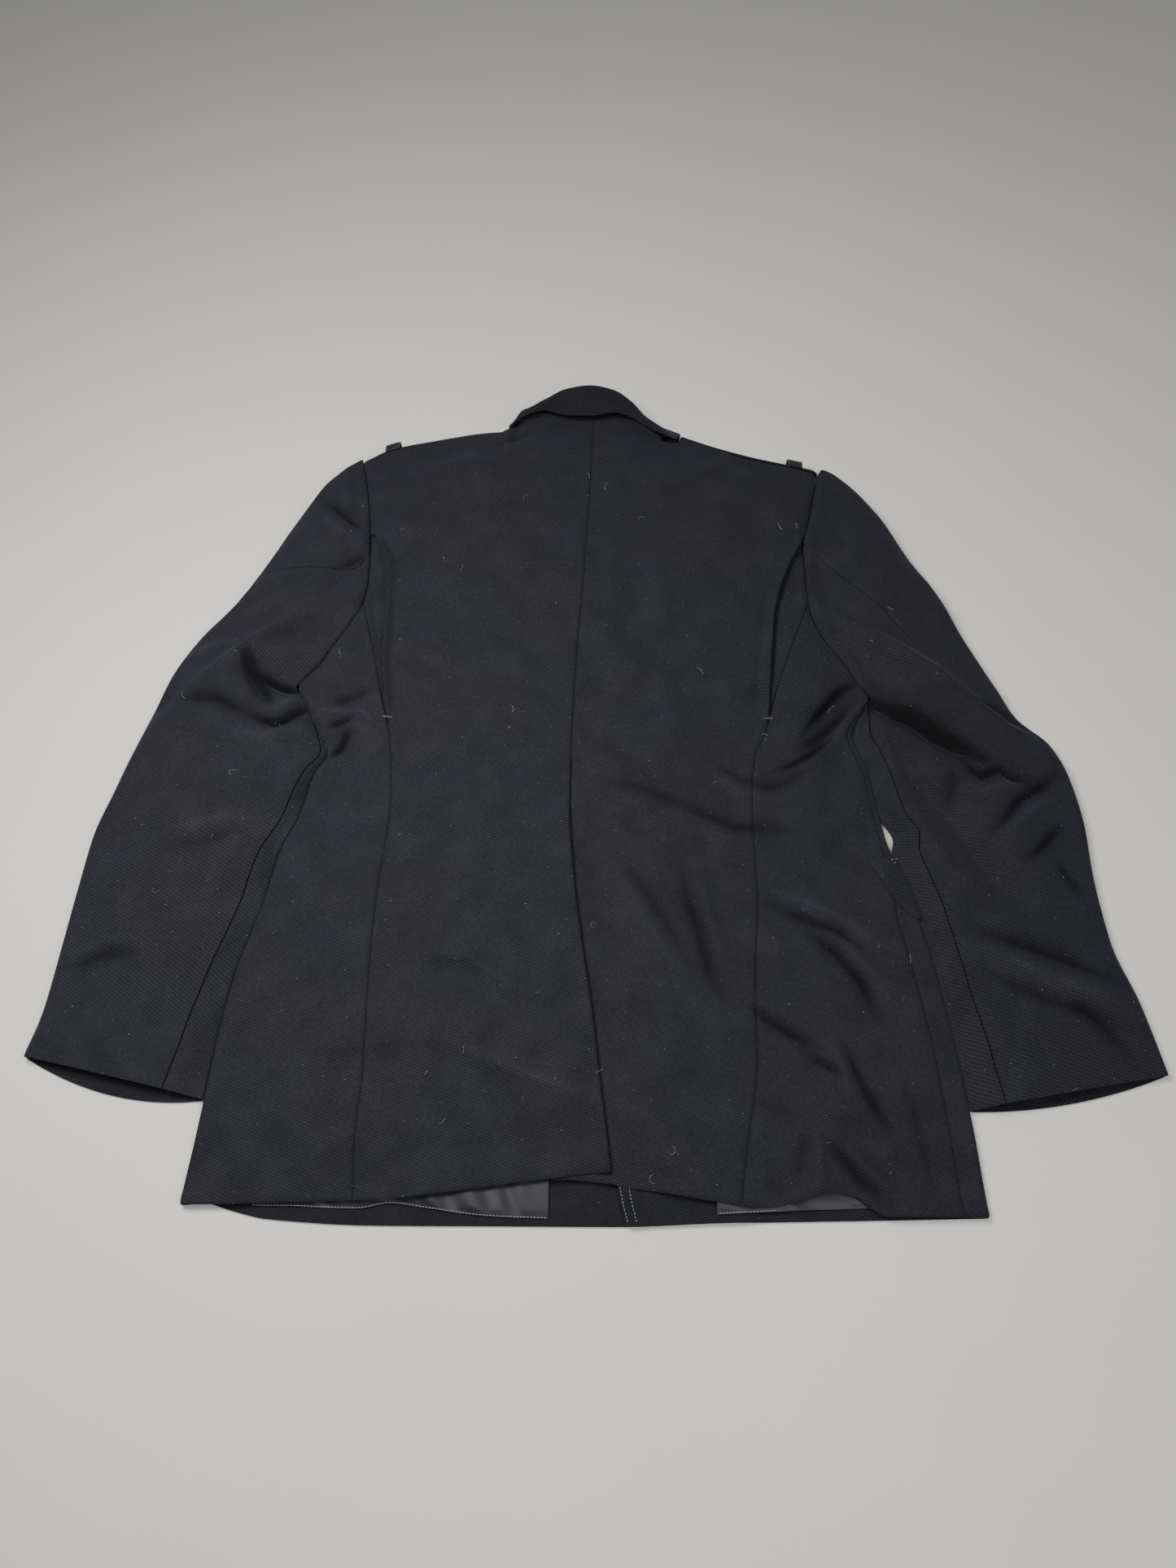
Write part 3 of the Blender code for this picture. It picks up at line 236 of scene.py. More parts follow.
SHOULDER = table(
    "x edge",
    (-245, 329),
    (-237, 332),
    (-215, 346),
    (-199, 352),
    (-146, 364),
    (-117, 370),
    (-103, 371.5),
    (-96, 372),
    (-93, 373),
    (-85, 425),
    (78, 425),
    (91, 368.5),
    (98, 364),
    (107, 360),
    (130, 350),
    (162, 339),
    (188, 331.5),
    (226, 321),
    (237, 318),
    (245, 314),
)
NECK_REACH = 97.0          # the neck seam ends this far from the centre, at the shoulders' edges
NECK = table(
    "x seam",
    (-97, 358),
    (-88, 366),
    (-80, 374),
    (-67, 385),
    (-54, 389),
    (-34, 385),
    (-18, 383.5),
    (2, 384.5),
    (15, 388),
    (32, 388),
    (45, 379),
    (58, 367),
    (74, 356),
    (87, 350),
    (97, 350),
)
BACK_HEM = table(
    "x y",
    (-320, -399),
    (-290, -401),
    (-217, -399),
    (-156, -397),
    (-120, -393),
    (-34, -382.5),
    (13, -378),
    (15, -386.5),
    (48, -392),
    (92, -399),
    (131, -404),
    (164, -399),
    (193, -393),
    (209, -396),
    (236, -410),
    (305, -410),
)
UNDERLAP_HEM = table("x y", (-60, -384), (-22, -383), (15, -386.5))
FRONT_HEM = table(
    "x y",
    (-320, -399),
    (-298, -405),
    (-267, -411),
    (-181, -415.5),
    (-83, -416),
    (22, -416.5),
    (93, -414),
    (203, -412),
    (305, -410),
)
FRONT_EDGE = table(
    "y left right",
    (-430, 70, 28),
    (-385, 66, 18),
    (-200, 52, 2),
    (BREAK, 32, -18),
    (300, -63, 57),
    (352, -94, 92),
    (400, -97, 95),
)
UNDERLAP = {
    "top": -62.0,
    "open": 12.0,          # the vent opens within this height
    "length": 320.0,
    "width": 32.0,         # of the right back below the left one at the top
    "hem_width": 58.0,     # and at the hem
    "drop": 2.6,
    "lead": 50.0,
    "ramp": 16.0,
    "reach": 24.0,
}
SIDE_SEAM = {
    "left": {"under": 25.0, "fade": 60.0},        # on the underside, nearing the edge at the underarm
    "right": {"top": 8.0, "hem": 14.5, "from": -100.0, "ramp": 80.0, "underarm": 8.0, "fade": 40.0},
}

# The satin at the hem: its ends across, the height that it is lost at, and its lower edge above the front hem

LINING_SPAN = {"left": (-262.0, -34.6), "right": (94.0, 232.0)}
LINING_TOP = -330.0
LINING_REACH = 125.0       # it is lifted with the right front to this far past the left one's edge
LINING_INSET = {
    "left": table(
        "x inset", (-262, 10), (-223, 12), (-181, 12), (-155, 16), (-130, 13), (-80, 7), (-36, 5.5)
    ),
    "right": table("x inset", (95, 6), (130, 7), (170, 8), (250, 9)),
}

# The sleeves, a row for each rung from the outer edge to the armhole or the inner edge

SLEEVES = {
    "left": table(
        "down out_x out_y in_x in_y crown rim",
        (0.00, -239.8, 335, -237.4, 321, 19, 17),
        (0.06, -253, 326, -234, 307, 22, 16),
        (0.12, -276, 297, -230, 288, 25, 16),
        (0.20, -298, 255, -224.5, 250, 27, 16),
        (0.28, -322, 203, -220, 205, 28, 15),
        (0.36, -348, 151, -222, 150, 28, 14),
        (0.43, -378, 110, -243, 105, 27, 13),
        (0.50, -398, 68, -277, 57, 26, 13),
        (0.56, -408, 32, -263, 29, 25, 12),
        (0.62, -420, -10, -245, -12, 23, 12),
        (0.68, -431, -52, -259, -52, 21, 11),
        (0.74, -441, -95, -272.5, -100, 20, 11),
        (0.80, -445, -144, -284.5, -155, 18, 10),
        (0.86, -448, -195, -296, -205, 17, 10),
        (0.93, -452, -250, -306.5, -268, 16, 9.5),
        (1.00, -460, -288, -311.5, -322, 14.5, 9.5),
    ),
    "right": table(
        "down out_x out_y in_x in_y crown rim",
        (0.00, 240.0, 323, 236.6, 310, 19, 17),
        (0.06, 250, 316, 231, 301, 22, 16),
        (0.12, 271, 289, 225.5, 281, 25, 16),
        (0.20, 294, 255, 218, 248, 27, 16),
        (0.28, 316, 205, 208.5, 202, 28, 15),
        (0.36, 342, 155, 208, 150, 28, 14),
        (0.43, 357, 112, 217, 110, 27, 13),
        (0.50, 380, 55, 259, 44, 26, 13),
        (0.56, 394, 23, 242, 15, 25, 12),
        (0.62, 420, -5, 243, -15, 23, 12),
        (0.68, 432, -40, 252, -48, 21, 11),
        (0.74, 436, -85, 261.5, -95, 20, 11),
        (0.80, 434.5, -135, 274.5, -140, 18, 10),
        (0.86, 437, -190, 286, -195, 17, 10),
        (0.93, 451, -245, 294, -262, 16, 9.5),
        (1.00, 461, -303, 301.5, -331, 14.5, 9.5),
    ),
}
JOINED = {"until": 0.50, "free": 0.54}         # down the sleeve: sewn to the body, then clear of it
HIND_START = 0.26
HIND_SEAM = {
    "left": table(
        "down across",
        (0.270, 0.985),
        (0.298, 0.91),
        (0.303, 0.8),
        (0.307, 0.5),
        (0.311, 0.15),
        (0.318, 0.02),
        (0.34, 0.0),
        (1.0, -0.02),
    ),
    "right": table(
        "down across",
        (0.268, 0.985),
        (0.279, 0.88),
        (0.304, 0.777),
        (0.344, 0.65),
        (0.390, 0.536),
        (0.432, 0.46),
        (0.481, 0.386),
        (0.532, 0.257),
        (0.552, 0.11),
        (0.575, 0.0),
        (1.0, -0.02),
    ),
}
FORE_SEAM = {
    "left": table("down inset", (0.50, 0.3), (0.60, 4), (0.70, 11), (0.77, 15.5), (0.86, 18), (1.0, 30)),
    "right": table(
        "down inset", (0.50, 0.3), (0.56, 13), (0.60, 16), (0.68, 19), (0.76, 20), (0.86, 20), (1.0, 25)
    ),
}
CUFF_STEP = {"left": 13.0, "right": 8.0}    # the lower cuff edge comes further out than the upper one
CUFF_START = 0.9           # down the sleeve, where that step starts
SLEEVE = {
    "arch": 2.4,           # power of the arch across it
    "rope": 1.5,           # height of the swell along the armhole
    "rope_at": 7.0,
    "rope_width": 6.0,
    "join": 60.0,          # within this width it comes to the back's height at the armhole
    "fold_fade": 8.0,      # folds fade this near its edges
    "roll_share": 0.4,     # most of its width that the outer edge's turn takes
}

# Folds listed as ridges (+) and troughs (-): width, height, lean, then the places along the line.
# A lean above 0 makes the fold steeper to the right of its line, below 0 to the left.

FOLDS = {
    "body": (
        (7, -6.0, 0.0, (-241, -17), (-231, -7), (-227, 4), (-228, 15)),
        (6, -5.0, 0.0, (-246, 17), (-233, 20), (-219, 25)),
        (10, 4.4, 0.0, (-260, 34), (-240, 30), (-212, 27), (-196, 13)),
        (10, -3.4, 0.0, (-246, 38), (-226, 43), (-203, 53)),
        (8, 3.0, 0.0, (-226, 15), (-216, 15), (-206, 2)),
        (24, 1.6, 0.0, (-270, -208), (-240, -186), (-200, -170)),
        (14, -1.6, 0.0, (-270, -230), (-246, -214), (-220, -190)),
        (20, 1.4, 0.0, (-270, -288), (-252, -252), (-236, -230)),
        (26, 1.4, 0.0, (-290, -330), (-250, -345), (-200, -340)),
        (8, -9.0, 0.0, (252, 62), (233, 53), (212, 29), (192, 4)),
        (12, -6.5, 0.0, (186, -12), (207, 0), (225, 17), (243, 40)),
        (6, -5.5, 0.0, (158, -35), (178, -28), (198, -16), (217, 0), (239, 23)),
        (10, 6.5, 0.0, (201, -13), (220, 4), (241, 27), (255, 38)),
        (9, -2.8, 0.0, (105, -20), (132, -43), (153, -49), (177, -43), (198, -30)),
        (11, 2.2, 0.0, (106, -32), (131, -55), (154, -61), (182, -53)),
        (14, 4.2, 0.3, (0, -26), (52, -36), (95, -57), (139, -78)),
        (10, -3.4, 0.0, (-2, -40), (50, -52), (92, -74), (125, -89), (161, -89), (196, -95)),
        (14, 1.6, 0.0, (6, -56), (50, -68), (90, -90)),
        (32, 2.6, 0.0, (59, 157), (101, 95), (140, 28)),
        (22, -1.5, 0.0, (40, 120), (80, 60), (120, 6)),
        (16, 1.2, 0.0, (20, 186), (40, 190), (64, 199)),
        (26, 1.6, 0.0, (-120, 323), (-104, 280), (-86, 234)),
        (24, -1.2, 0.0, (-150, 318), (-140, 280), (-120, 236)),
        (26, 1.5, 0.0, (-196, 224), (-160, 226), (-120, 230)),
        (30, -1.4, 0.0, (-190, 170), (-140, 150), (-90, 150)),
        (30, 1.6, 0.0, (-180, 60), (-120, 40), (-60, 44)),
        (24, -1.4, 0.0, (-176, -20), (-120, -36), (-60, -30)),
        (14, 4.0, 0.3, (-182, -195), (-107, -208), (-56, -236), (-2, -252)),
        (14, -2.4, 0.0, (-176, -212), (-110, -224), (-60, -252), (-6, -270)),
        (13, 3.6, 0.2, (-132, -268), (-91, -289), (-40, -308), (4, -324)),
        (14, -2.2, 0.0, (-140, -282), (-94, -302), (-40, -324), (0, -340)),
        (12, -3.4, 0.0, (76, -118), (82, -160), (92, -196), (98, -226), (112, -246)),
        (14, 3.2, 0.0, (88, -110), (96, -156), (106, -196), (114, -222)),
        (12, -2.6, 0.0, (20, -116), (46, -150), (66, -184), (84, -216)),
        (12, 2.2, 0.0, (12, -124), (36, -158), (56, -194), (74, -228)),
        (9, -4.8, 0.0, (150, -160), (178, -172), (208, -184), (236, -206)),
        (12, 3.4, 0.0, (150, -148), (180, -158), (212, -172), (242, -192)),
        (9, -5.0, 0.0, (178, -182), (204, -204), (222, -226), (234, -258)),
        (12, 3.0, 0.0, (190, -178), (216, -200), (236, -226), (246, -250)),
        (8, -4.6, 0.0, (124, -246), (146, -262), (168, -276), (184, -282)),
        (7, -4.4, 0.0, (170, -288), (186, -296), (204, -306)),
        (8, -5.0, 0.0, (204, -282), (212, -304), (222, -328), (232, -346)),
        (12, 3.0, 0.0, (192, -270), (200, -300), (208, -330)),
        (9, -4.2, 0.0, (178, -350), (190, -366), (206, -386), (226, -402)),
        (9, -2.6, 0.0, (168, -346), (162, -366), (157, -384)),
        (14, 4.5, 0.0, (176, -352), (173, -376), (176, -402)),
        (14, 6.5, 0.0, (188, -352), (208, -374), (236, -402)),
        (9, -2.0, 0.0, (244, -290), (252, -330), (262, -400)),
        (20, 1.8, 0.0, (256, -230), (272, -270), (280, -320)),
        (22, 1.4, 0.0, (60, -330), (90, -352), (110, -396)),
        (10, -1.6, 0.0, (-64, 362), (-80, 350), (-100, 342)),
        (10, 1.2, 0.0, (-60, 352), (-76, 340), (-96, 330)),
    ),
    "left": (
        (22, 8.0, -0.3, (-400, 22), (-339, 79), (-283, 128), (-226, 153)),
        (20, -3.4, 0.0, (-322, 84), (-296, 98), (-262, 120)),
        (10, -11.0, 0.0, (-326, 92), (-319, 69), (-308, 49), (-293, 29)),
        (7, -9.5, 0.0, (-316, 64), (-291, 54), (-268, 50)),
        (8, -9.5, 0.0, (-316, 22), (-292, 13), (-281, 18), (-270, 30), (-260, 42)),
        (12, -4.2, 0.0, (-390, 36), (-369, 40), (-346, 38), (-324, 27), (-309, 19)),
        (13, 5.0, 0.0, (-304, 38), (-291, 28), (-280, 36), (-266, 46)),
        (12, 3.4, 0.0, (-326, 6), (-300, -2), (-276, 8)),
        (7, -3.2, 0.0, (-250, 190), (-237, 197), (-223, 203)),
        (9, -4.4, 0.0, (-271, 273), (-249, 250), (-228, 231)),
        (11, 3.0, 0.0, (-280, 260), (-256, 235), (-233, 219)),
        (14, 1.8, 0.0, (-346, 150), (-330, 166), (-312, 182)),
        (30, -3.8, 0.0, (-381, -66), (-366, -28), (-352, 12)),
        (12, 3.4, 0.3, (-374, -93), (-342, -88), (-309, -74)),
        (12, -1.8, 0.0, (-376, -108), (-342, -104), (-306, -92)),
        (11, -3.4, 0.0, (-442, -218), (-410, -206), (-376, -203)),
        (13, 2.6, 0.0, (-442, -206), (-410, -194), (-372, -192)),
        (26, 2.2, 0.0, (-426, -40), (-410, 0), (-392, 30)),
        (26, 1.8, 0.0, (-420, -130), (-400, -160), (-360, -180)),
        (28, 2.0, 0.0, (-330, -150), (-340, -200), (-336, -250)),
        (20, -1.6, 0.0, (-420, -250), (-384, -262), (-340, -262)),
        (34, 2.4, 0.0, (-300, 250), (-280, 226), (-246, 214)),
        (9, 2.2, 0.0, (-398, 76), (-360, 96), (-330, 102)),
    ),
    "right": (
        (24, 9.5, -0.3, (216, 144), (272, 99), (320, 64), (345, 36), (377, 12), (406, -8)),
        (10, -3.6, 0.0, (344, 36), (365, 29), (382, 16), (402, 6)),
        (13, -21.0, 0.0, (252, 46), (279, 23), (296, 14), (313, 0), (334, -13), (354, -23)),
        (8, -8.5, 0.0, (332, -24), (347, -41), (364, -34), (374, -42), (392, -43)),
        (7, -8.5, 0.0, (350, -94), (367, -77), (378, -64), (395, -53), (418, -36)),
        (7, -7.0, 0.0, (374, -121), (388, -111), (400, -99), (413, -84)),
        (18, -7.5, 0.0, (270, 14), (292, -48), (315, -84), (337, -129), (362, -166)),
        (22, 3.0, 0.0, (276, -60), (296, -104), (314, -146)),
        (9, 4.4, 0.0, (331, -50), (351, -55), (369, -50), (387, -56)),
        (10, 4.0, 0.0, (362, -96), (379, -80), (398, -66), (416, -56)),
        (8, -3.8, 0.0, (400, -122), (409, -137), (419, -152)),
        (8, -2.6, 0.0, (321, -26), (322, -49), (310, -77)),
        (24, 2.4, 0.0, (278, -110), (300, -150), (320, -176)),
        (14, 4.0, 0.3, (307, -164), (343, -176), (399, -196), (439, -216)),
        (11, -4.6, 0.0, (312, -180), (350, -194), (400, -212), (436, -232)),
        (13, 3.4, 0.2, (315, -196), (360, -218), (393, -232), (438, -250)),
        (10, -3.4, 0.0, (312, -212), (352, -236), (396, -252), (438, -268)),
        (11, -3.0, 0.0, (386, -238), (410, -262), (434, -290)),
        (24, 2.0, 0.0, (330, -280), (370, -284), (410, -296)),
        (30, 2.4, 0.0, (300, 230), (270, 210), (232, 200)),
        (26, -2.0, 0.0, (322, 190), (286, 176), (240, 170)),
        (22, 2.0, 0.0, (352, 120), (330, 128), (300, 140)),
    ),
}
FOLD = {"fade": 0.35, "kept": 0.2, "power": 1.5}    # share of its length that a fold fades over, and to what


WAVES = {
    "count": 18,
    "seed": 7,
    "longest": 170.0,
    "shortest": 30.0,
    "height": 0.0056,      # for each millimetre of length
    "wander": 0.8,
    "wander_rate": 0.37,
}


def fold_height(which, x, y, widest=math.inf):
    """The sum of the folds at a place, of those up to a width. Each fades towards its two ends."""
    total = np.zeros(np.broadcast(x, y).shape)
    for width, height, lean, *places in FOLDS[which]:
        if width > widest:
            continue
        line = np.array(places, float)
        legs = np.diff(line, axis=0)
        lengths = np.hypot(legs[:, 0], legs[:, 1])
        reached = np.concatenate([[0.0], np.cumsum(lengths)])
        best = np.full(total.shape, np.inf)
        share = np.zeros(total.shape)
        beside = np.zeros(total.shape)
        for start, leg, length, behind in zip(line, legs, lengths, reached):
            along = np.clip(((x - start[0]) * leg[0] + (y - start[1]) * leg[1]) / length ** 2, 0, 1)
            away_x, away_y = x - start[0] - along * leg[0], y - start[1] - along * leg[1]
            off = np.hypot(away_x, away_y)
            nearer = off < best
            beside = np.where(nearer, np.sign(leg[0] * away_y - leg[1] * away_x), beside)
            best = np.where(nearer, off, best)
            share = np.where(nearer, (behind + along * length) / reached[-1], share)
        fade = mix(FOLD["kept"], 1.0, ease(np.minimum(share, 1 - share) / FOLD["fade"]))
        half = width * (1 + lean * beside) / 2
        total += height * fade / (1 + (best / half) ** 2) ** FOLD["power"]
    return total


def wave_height(x, y, which):
    """Small irregular swells of cloth that lies loose, as a sum of fixed waves in all directions."""
    rng = np.random.default_rng(WAVES["seed"] + which)
    total = np.zeros(np.broadcast(x, y).shape)
    for _ in range(WAVES["count"]):
        length = WAVES["shortest"] * (WAVES["longest"] / WAVES["shortest"]) ** rng.random()
        way = rng.random() * math.tau
        phase = rng.random() * math.tau
        reach = (x * math.cos(way) + y * math.sin(way)) / length * math.tau
        bent = reach + phase + WAVES["wander"] * np.sin(WAVES["wander_rate"] * reach)
        total += WAVES["height"] * length * np.sin(bent)
    return total


# The body: a height for the back, a height for the fronts, and the turn at each edge

BACK = {
    "arch": 2.6,           # power of the arch across the body, flat on top and steep at the sides
    "shoulder": 18.5,      # height at the shoulders' edges, reached over the next length
    "shoulder_fade": 70.0,
    "neck": 22.0,          # height at the neck seam, and the lengths that it eases over
    "neck_fade": 60.0,
    "neck_half": 100.0,
    "neck_side": 25.0,
    "fold_fade": 14.0,     # folds keep only edge_share of their height at the side edges
    "edge_share": 0.15,
    "top_fade": 16.0,      # and fade out at the shoulders' edges
}
ARMHOLE_VALLEY = {"depth": 4.2, "width": 4.5, "start": 6.0, "ramp": 20.0}


def back_height(x, y):
    """Height of the back's outside, with its folds, its small swells and the valleys along the armholes."""
    left, right = BODY["left_edge"](y), BODY["right_edge"](y)
    across = np.clip(np.abs(2 * x - left - right) / (right - left), 0, 1)
    rim = BODY["rim"](y)
    height = rim + (BODY["crown"](y) - rim) * (1 - across ** BACK["arch"])
    below = SHOULDER["edge"](x) - y
    height = height - np.maximum(height - BACK["shoulder"], 0) * ease(1 - below / BACK["shoulder_fade"])
    neck = ease(1 - (NECK["seam"](x) - y) / BACK["neck_fade"])
    neck = neck * ease((BACK["neck_half"] - np.abs(x)) / BACK["neck_side"])
    height = mix(height, BACK["neck"], neck)
    inside = ease(np.minimum(x - left, right - x) / BACK["fold_fade"])
    moved = fold_height("body", x, y) + wave_height(x, y, 0)
    height = height + moved * mix(BACK["edge_share"], 1.0, inside) * ease(below / BACK["top_fade"])
    for side in ("left", "right"):
        away = (x - ARMHOLE[side](y)) / ARMHOLE_VALLEY["width"]
        shown = ease((y - UNDERARM[side] - ARMHOLE_VALLEY["start"]) / ARMHOLE_VALLEY["ramp"])
        shown = shown * ease((SHOULDER_TIP - y) / ARMHOLE_VALLEY["ramp"])
        height = height - ARMHOLE_VALLEY["depth"] * np.exp(-(away ** 2)) * shown
    return height


def box_rise(x, y, low, high, ramp):
    """1 inside the box, easing to 0 over the ramp outside it."""
    rise_x = ease(1 + np.minimum(x - low[0], high[0] - x) / ramp)
    return rise_x * ease(1 + np.minimum(y - low[1], high[1] - y) / ramp)


LIFT = {"buttons": 3.4, "lapels": 3.0, "flaps": 2.4}      # of the fronts above what lies under them
LIFTED = {                 # where: low corner, high corner and the ramp round them
    "buttons": ((-40, -206), (40, BREAK), 30),            # x from between the two front edges
    "lapels": ((-140, 50), (140, 360), 36),
    "right_flap": ((84, -212), (270, -92), 26),
    "left_flap": ((-290, -204), (-80, -86), 26),
}
LAPELS = {
    "left": ((30, 84), (-62, 296), (-98, 288), (-112, 232)),
    "right": ((10, 156), (54, 294), (90, 284), (104, 230)),
}
FLAP_LEFT = ((-262, -116), (-110, -124), (-112, -172), (-258, -166))


def front_height(x, y):
    """How far the fronts lie above the floor: over the lapels, the buttons and the pocket flaps."""
    centre = (FRONT_EDGE["left"](y) + FRONT_EDGE["right"](y)) / 2
    buttons = LIFT["buttons"] * box_rise(x - centre, y, *LIFTED["buttons"])
    lapels = LIFT["lapels"] * box_rise(x, y, *LIFTED["lapels"])
    flaps = box_rise(x, y, *LIFTED["right_flap"]) + box_rise(x, y, *LIFTED["left_flap"])
    flaps = LIFT["flaps"] * flaps
    return np.maximum(np.maximum(buttons, lapels), flaps)


def turned(path, roll):
    """Inset from an edge, place between the two faces (-1 to 1) and turn, on a path round that edge."""
    along = np.abs(path)
    turn = np.minimum(along / roll, QUARTER)
    inset = roll * (1 - np.cos(turn)) + np.maximum(along - roll * QUARTER, 0)
    return inset, np.sin(turn) * np.sign(path), np.cos(turn)


def body_edge(side, y):
    """The side edge, which stays where it is past the shoulder's tip."""
    return BODY[side + "_edge"](np.minimum(y, SHOULDER_TIP))


def edge_path(side, x, y):
    """The path from a side edge to x, counted on a flat face."""
    sign = SIGN[side]
    return sign * (body_edge(side, y) - x) + SIDE_ROLL[side] * (QUARTER - 1)


def body_point(side, path, up, depth, overlap=0.0):
    """A point of the body: path from the side edge (+ on the back), up the body, depth in from the outside.

    Past the shoulder's edge it comes out on the other face. overlap lifts the fronts off the floor.
    """
    sign = SIGN[side]
    inset, side_face, side_turn = turned(path, SIDE_ROLL[side])
    x = body_edge(side, up) - sign * inset
    shoulder = SHOULDER["edge"](x)
    over = shoulder + SHOULDER_ROLL * (QUARTER - 1) - up
    drop, end_face, end_turn = turned(over, SHOULDER_ROLL)
    y = shoulder - drop
    place = side_face * end_face
    top, bottom = back_height(x, y), front_height(x, y) + overlap
    z = (top + bottom) / 2 + place * (top - bottom) / 2
    inward = np.stack([-sign * side_turn * np.ones_like(z), -end_turn * np.ones_like(z), -place], -1)
    inward /= np.linalg.norm(inward, axis=-1, keepdims=True)
    return np.stack([x, y, z], -1) + inward * np.asarray(depth)[..., None]


# The sleeves

LOWERED = {"left": 3.0, "right": 9.0, "width": 11.0, "least": 6.5}    # the sleeve lies low beside the body
FLOOR_SHOWS = {"at": -95.0, "reach": 13.0, "width": 7.0}    # where the right sleeve leaves the body
SHARP_ROLL = 0.01          # left of the inner edge's roll where the sleeve is sewn to the body


def sleeve_point(side, down, across, depth):
    """A point of a sleeve: down it, across it and depth in.

    across runs 0 to 1 over the upper face from the outer edge to the inner one, and 0 to -1 below.
    Past -1 it comes up round the inner edge again.
    """
    rows = SLEEVES[side]
    joined = 1 - ease((down - JOINED["until"]) / (JOINED["free"] - JOINED["until"]))
    outer = np.stack([rows["out_x"](down), rows["out_y"](down)], -1)
    inner_y = rows["in_y"](down)
    beside = body_edge(side, inner_y) + SIGN[side] * BESIDE[side]
    shows = np.exp(-(((inner_y - FLOOR_SHOWS["at"]) / FLOOR_SHOWS["reach"]) ** 2))
    free_x = beside + (FLOOR_SHOWS["width"] * shows if side == "right" else 0.0)
    inner_x = np.where(down > JOINED["until"], free_x, ARMHOLE[side](inner_y))
    inner = np.stack([inner_x, inner_y], -1)
    width = np.linalg.norm(inner - outer, axis=-1)
    roll = np.minimum(SLEEVE_ROLL, SLEEVE["roll_share"] * width)
    inner_roll = INNER_ROLL[side] * (1 - joined) + SHARP_ROLL
    wrapped = across < -1
    side_face = np.where((across < 0) & ~wrapped, -1.0, 1.0)
    share = np.where(wrapped, 2 + across, np.abs(across))
    length = width + (QUARTER - 1) * (roll + inner_roll)
    path = share * length
    turn = np.minimum(path / roll, QUARTER)
    inner_turn = np.minimum((length - path) / inner_roll, QUARTER)
    inset = np.where(
        length - path < inner_roll * QUARTER,
        width - inner_roll * (1 - np.cos(inner_turn)),
        roll * (1 - np.cos(turn)) + np.maximum(path - roll * QUARTER, 0),
    )
    rounding = np.sin(turn) * mix(np.sin(inner_turn), 1.0, joined)
    part = np.clip(inset / width, 0, 1)
    plan = outer + (inner - outer) * part[..., None]
    x, y = plan[..., 0], plan[..., 1]
    rim = rows["rim"](down)
    crown = rim + (rows["crown"](down) - rim) * (1 - np.abs(2 * part - 1) ** SLEEVE["arch"])
    at_seam = back_height(inner[..., 0], inner[..., 1])
    rope = SLEEVE["rope"] * np.exp(-(((width - inset - SLEEVE["rope_at"]) / SLEEVE["rope_width"]) ** 2))
    crown = mix(crown, at_seam, joined * ease(1 - (width - inset) / SLEEVE["join"])) + rope * joined
    folds = fold_height(side, x, y) + wave_height(x, y, 1 if side == "left" else 2)
    crown = crown + folds * ease(np.minimum(inset, width - inset) / SLEEVE["fold_fade"])
    low = LOWERED[side] * np.exp(-(((width - inset) / LOWERED["width"]) ** 2)) * (1 - joined)
    crown = np.maximum(crown - low, np.minimum(crown, LOWERED["least"]))
    middle = rim / 2
    z = np.where(side_face > 0, middle + (crown - middle) * rounding, middle * (1 - rounding))
    at_cuff = ease((down - CUFF_START) / (1 - CUFF_START)) * 4 * part * (1 - part)
    y = y - np.where(side_face < 0, CUFF_STEP[side] * at_cuff, 0.0)
    inner_way = (inner - outer) / width[..., None]
    sideways = np.cos(turn) - np.cos(inner_turn) * (1 - joined)
    inward = np.stack([inner_way[..., 0] * sideways, inner_way[..., 1] * sideways, -side_face * rounding], -1)
    inward /= np.linalg.norm(inward, axis=-1, keepdims=True)
    return np.stack([x, y, z], -1) + inward * np.asarray(depth)[..., None]


FLAP = {
    "top": -115.0,
    "bottom": -172.0,
    "front": -158.0,
    "slope": 0.04,
    "least": 1.2,          # wall of the part that lies below the garment
    "clear": 0.9,          # of the cloth under it
    "below": -4.0,         # from here on the path it lies below
    "height": 57,
    "step": 2.0,
    "rear_start": 0.02,
    "rear_share": 0.25,    # of the flap, with closer columns
    "columns": 26,
    "length": 180,
}
FLAP_REAR = table("up path", (0.0, 25), (0.25, 25), (0.5, 23), (0.75, 18), (1.0, 6))

# The collar, a row for each section from its left front end round the neck to its right one

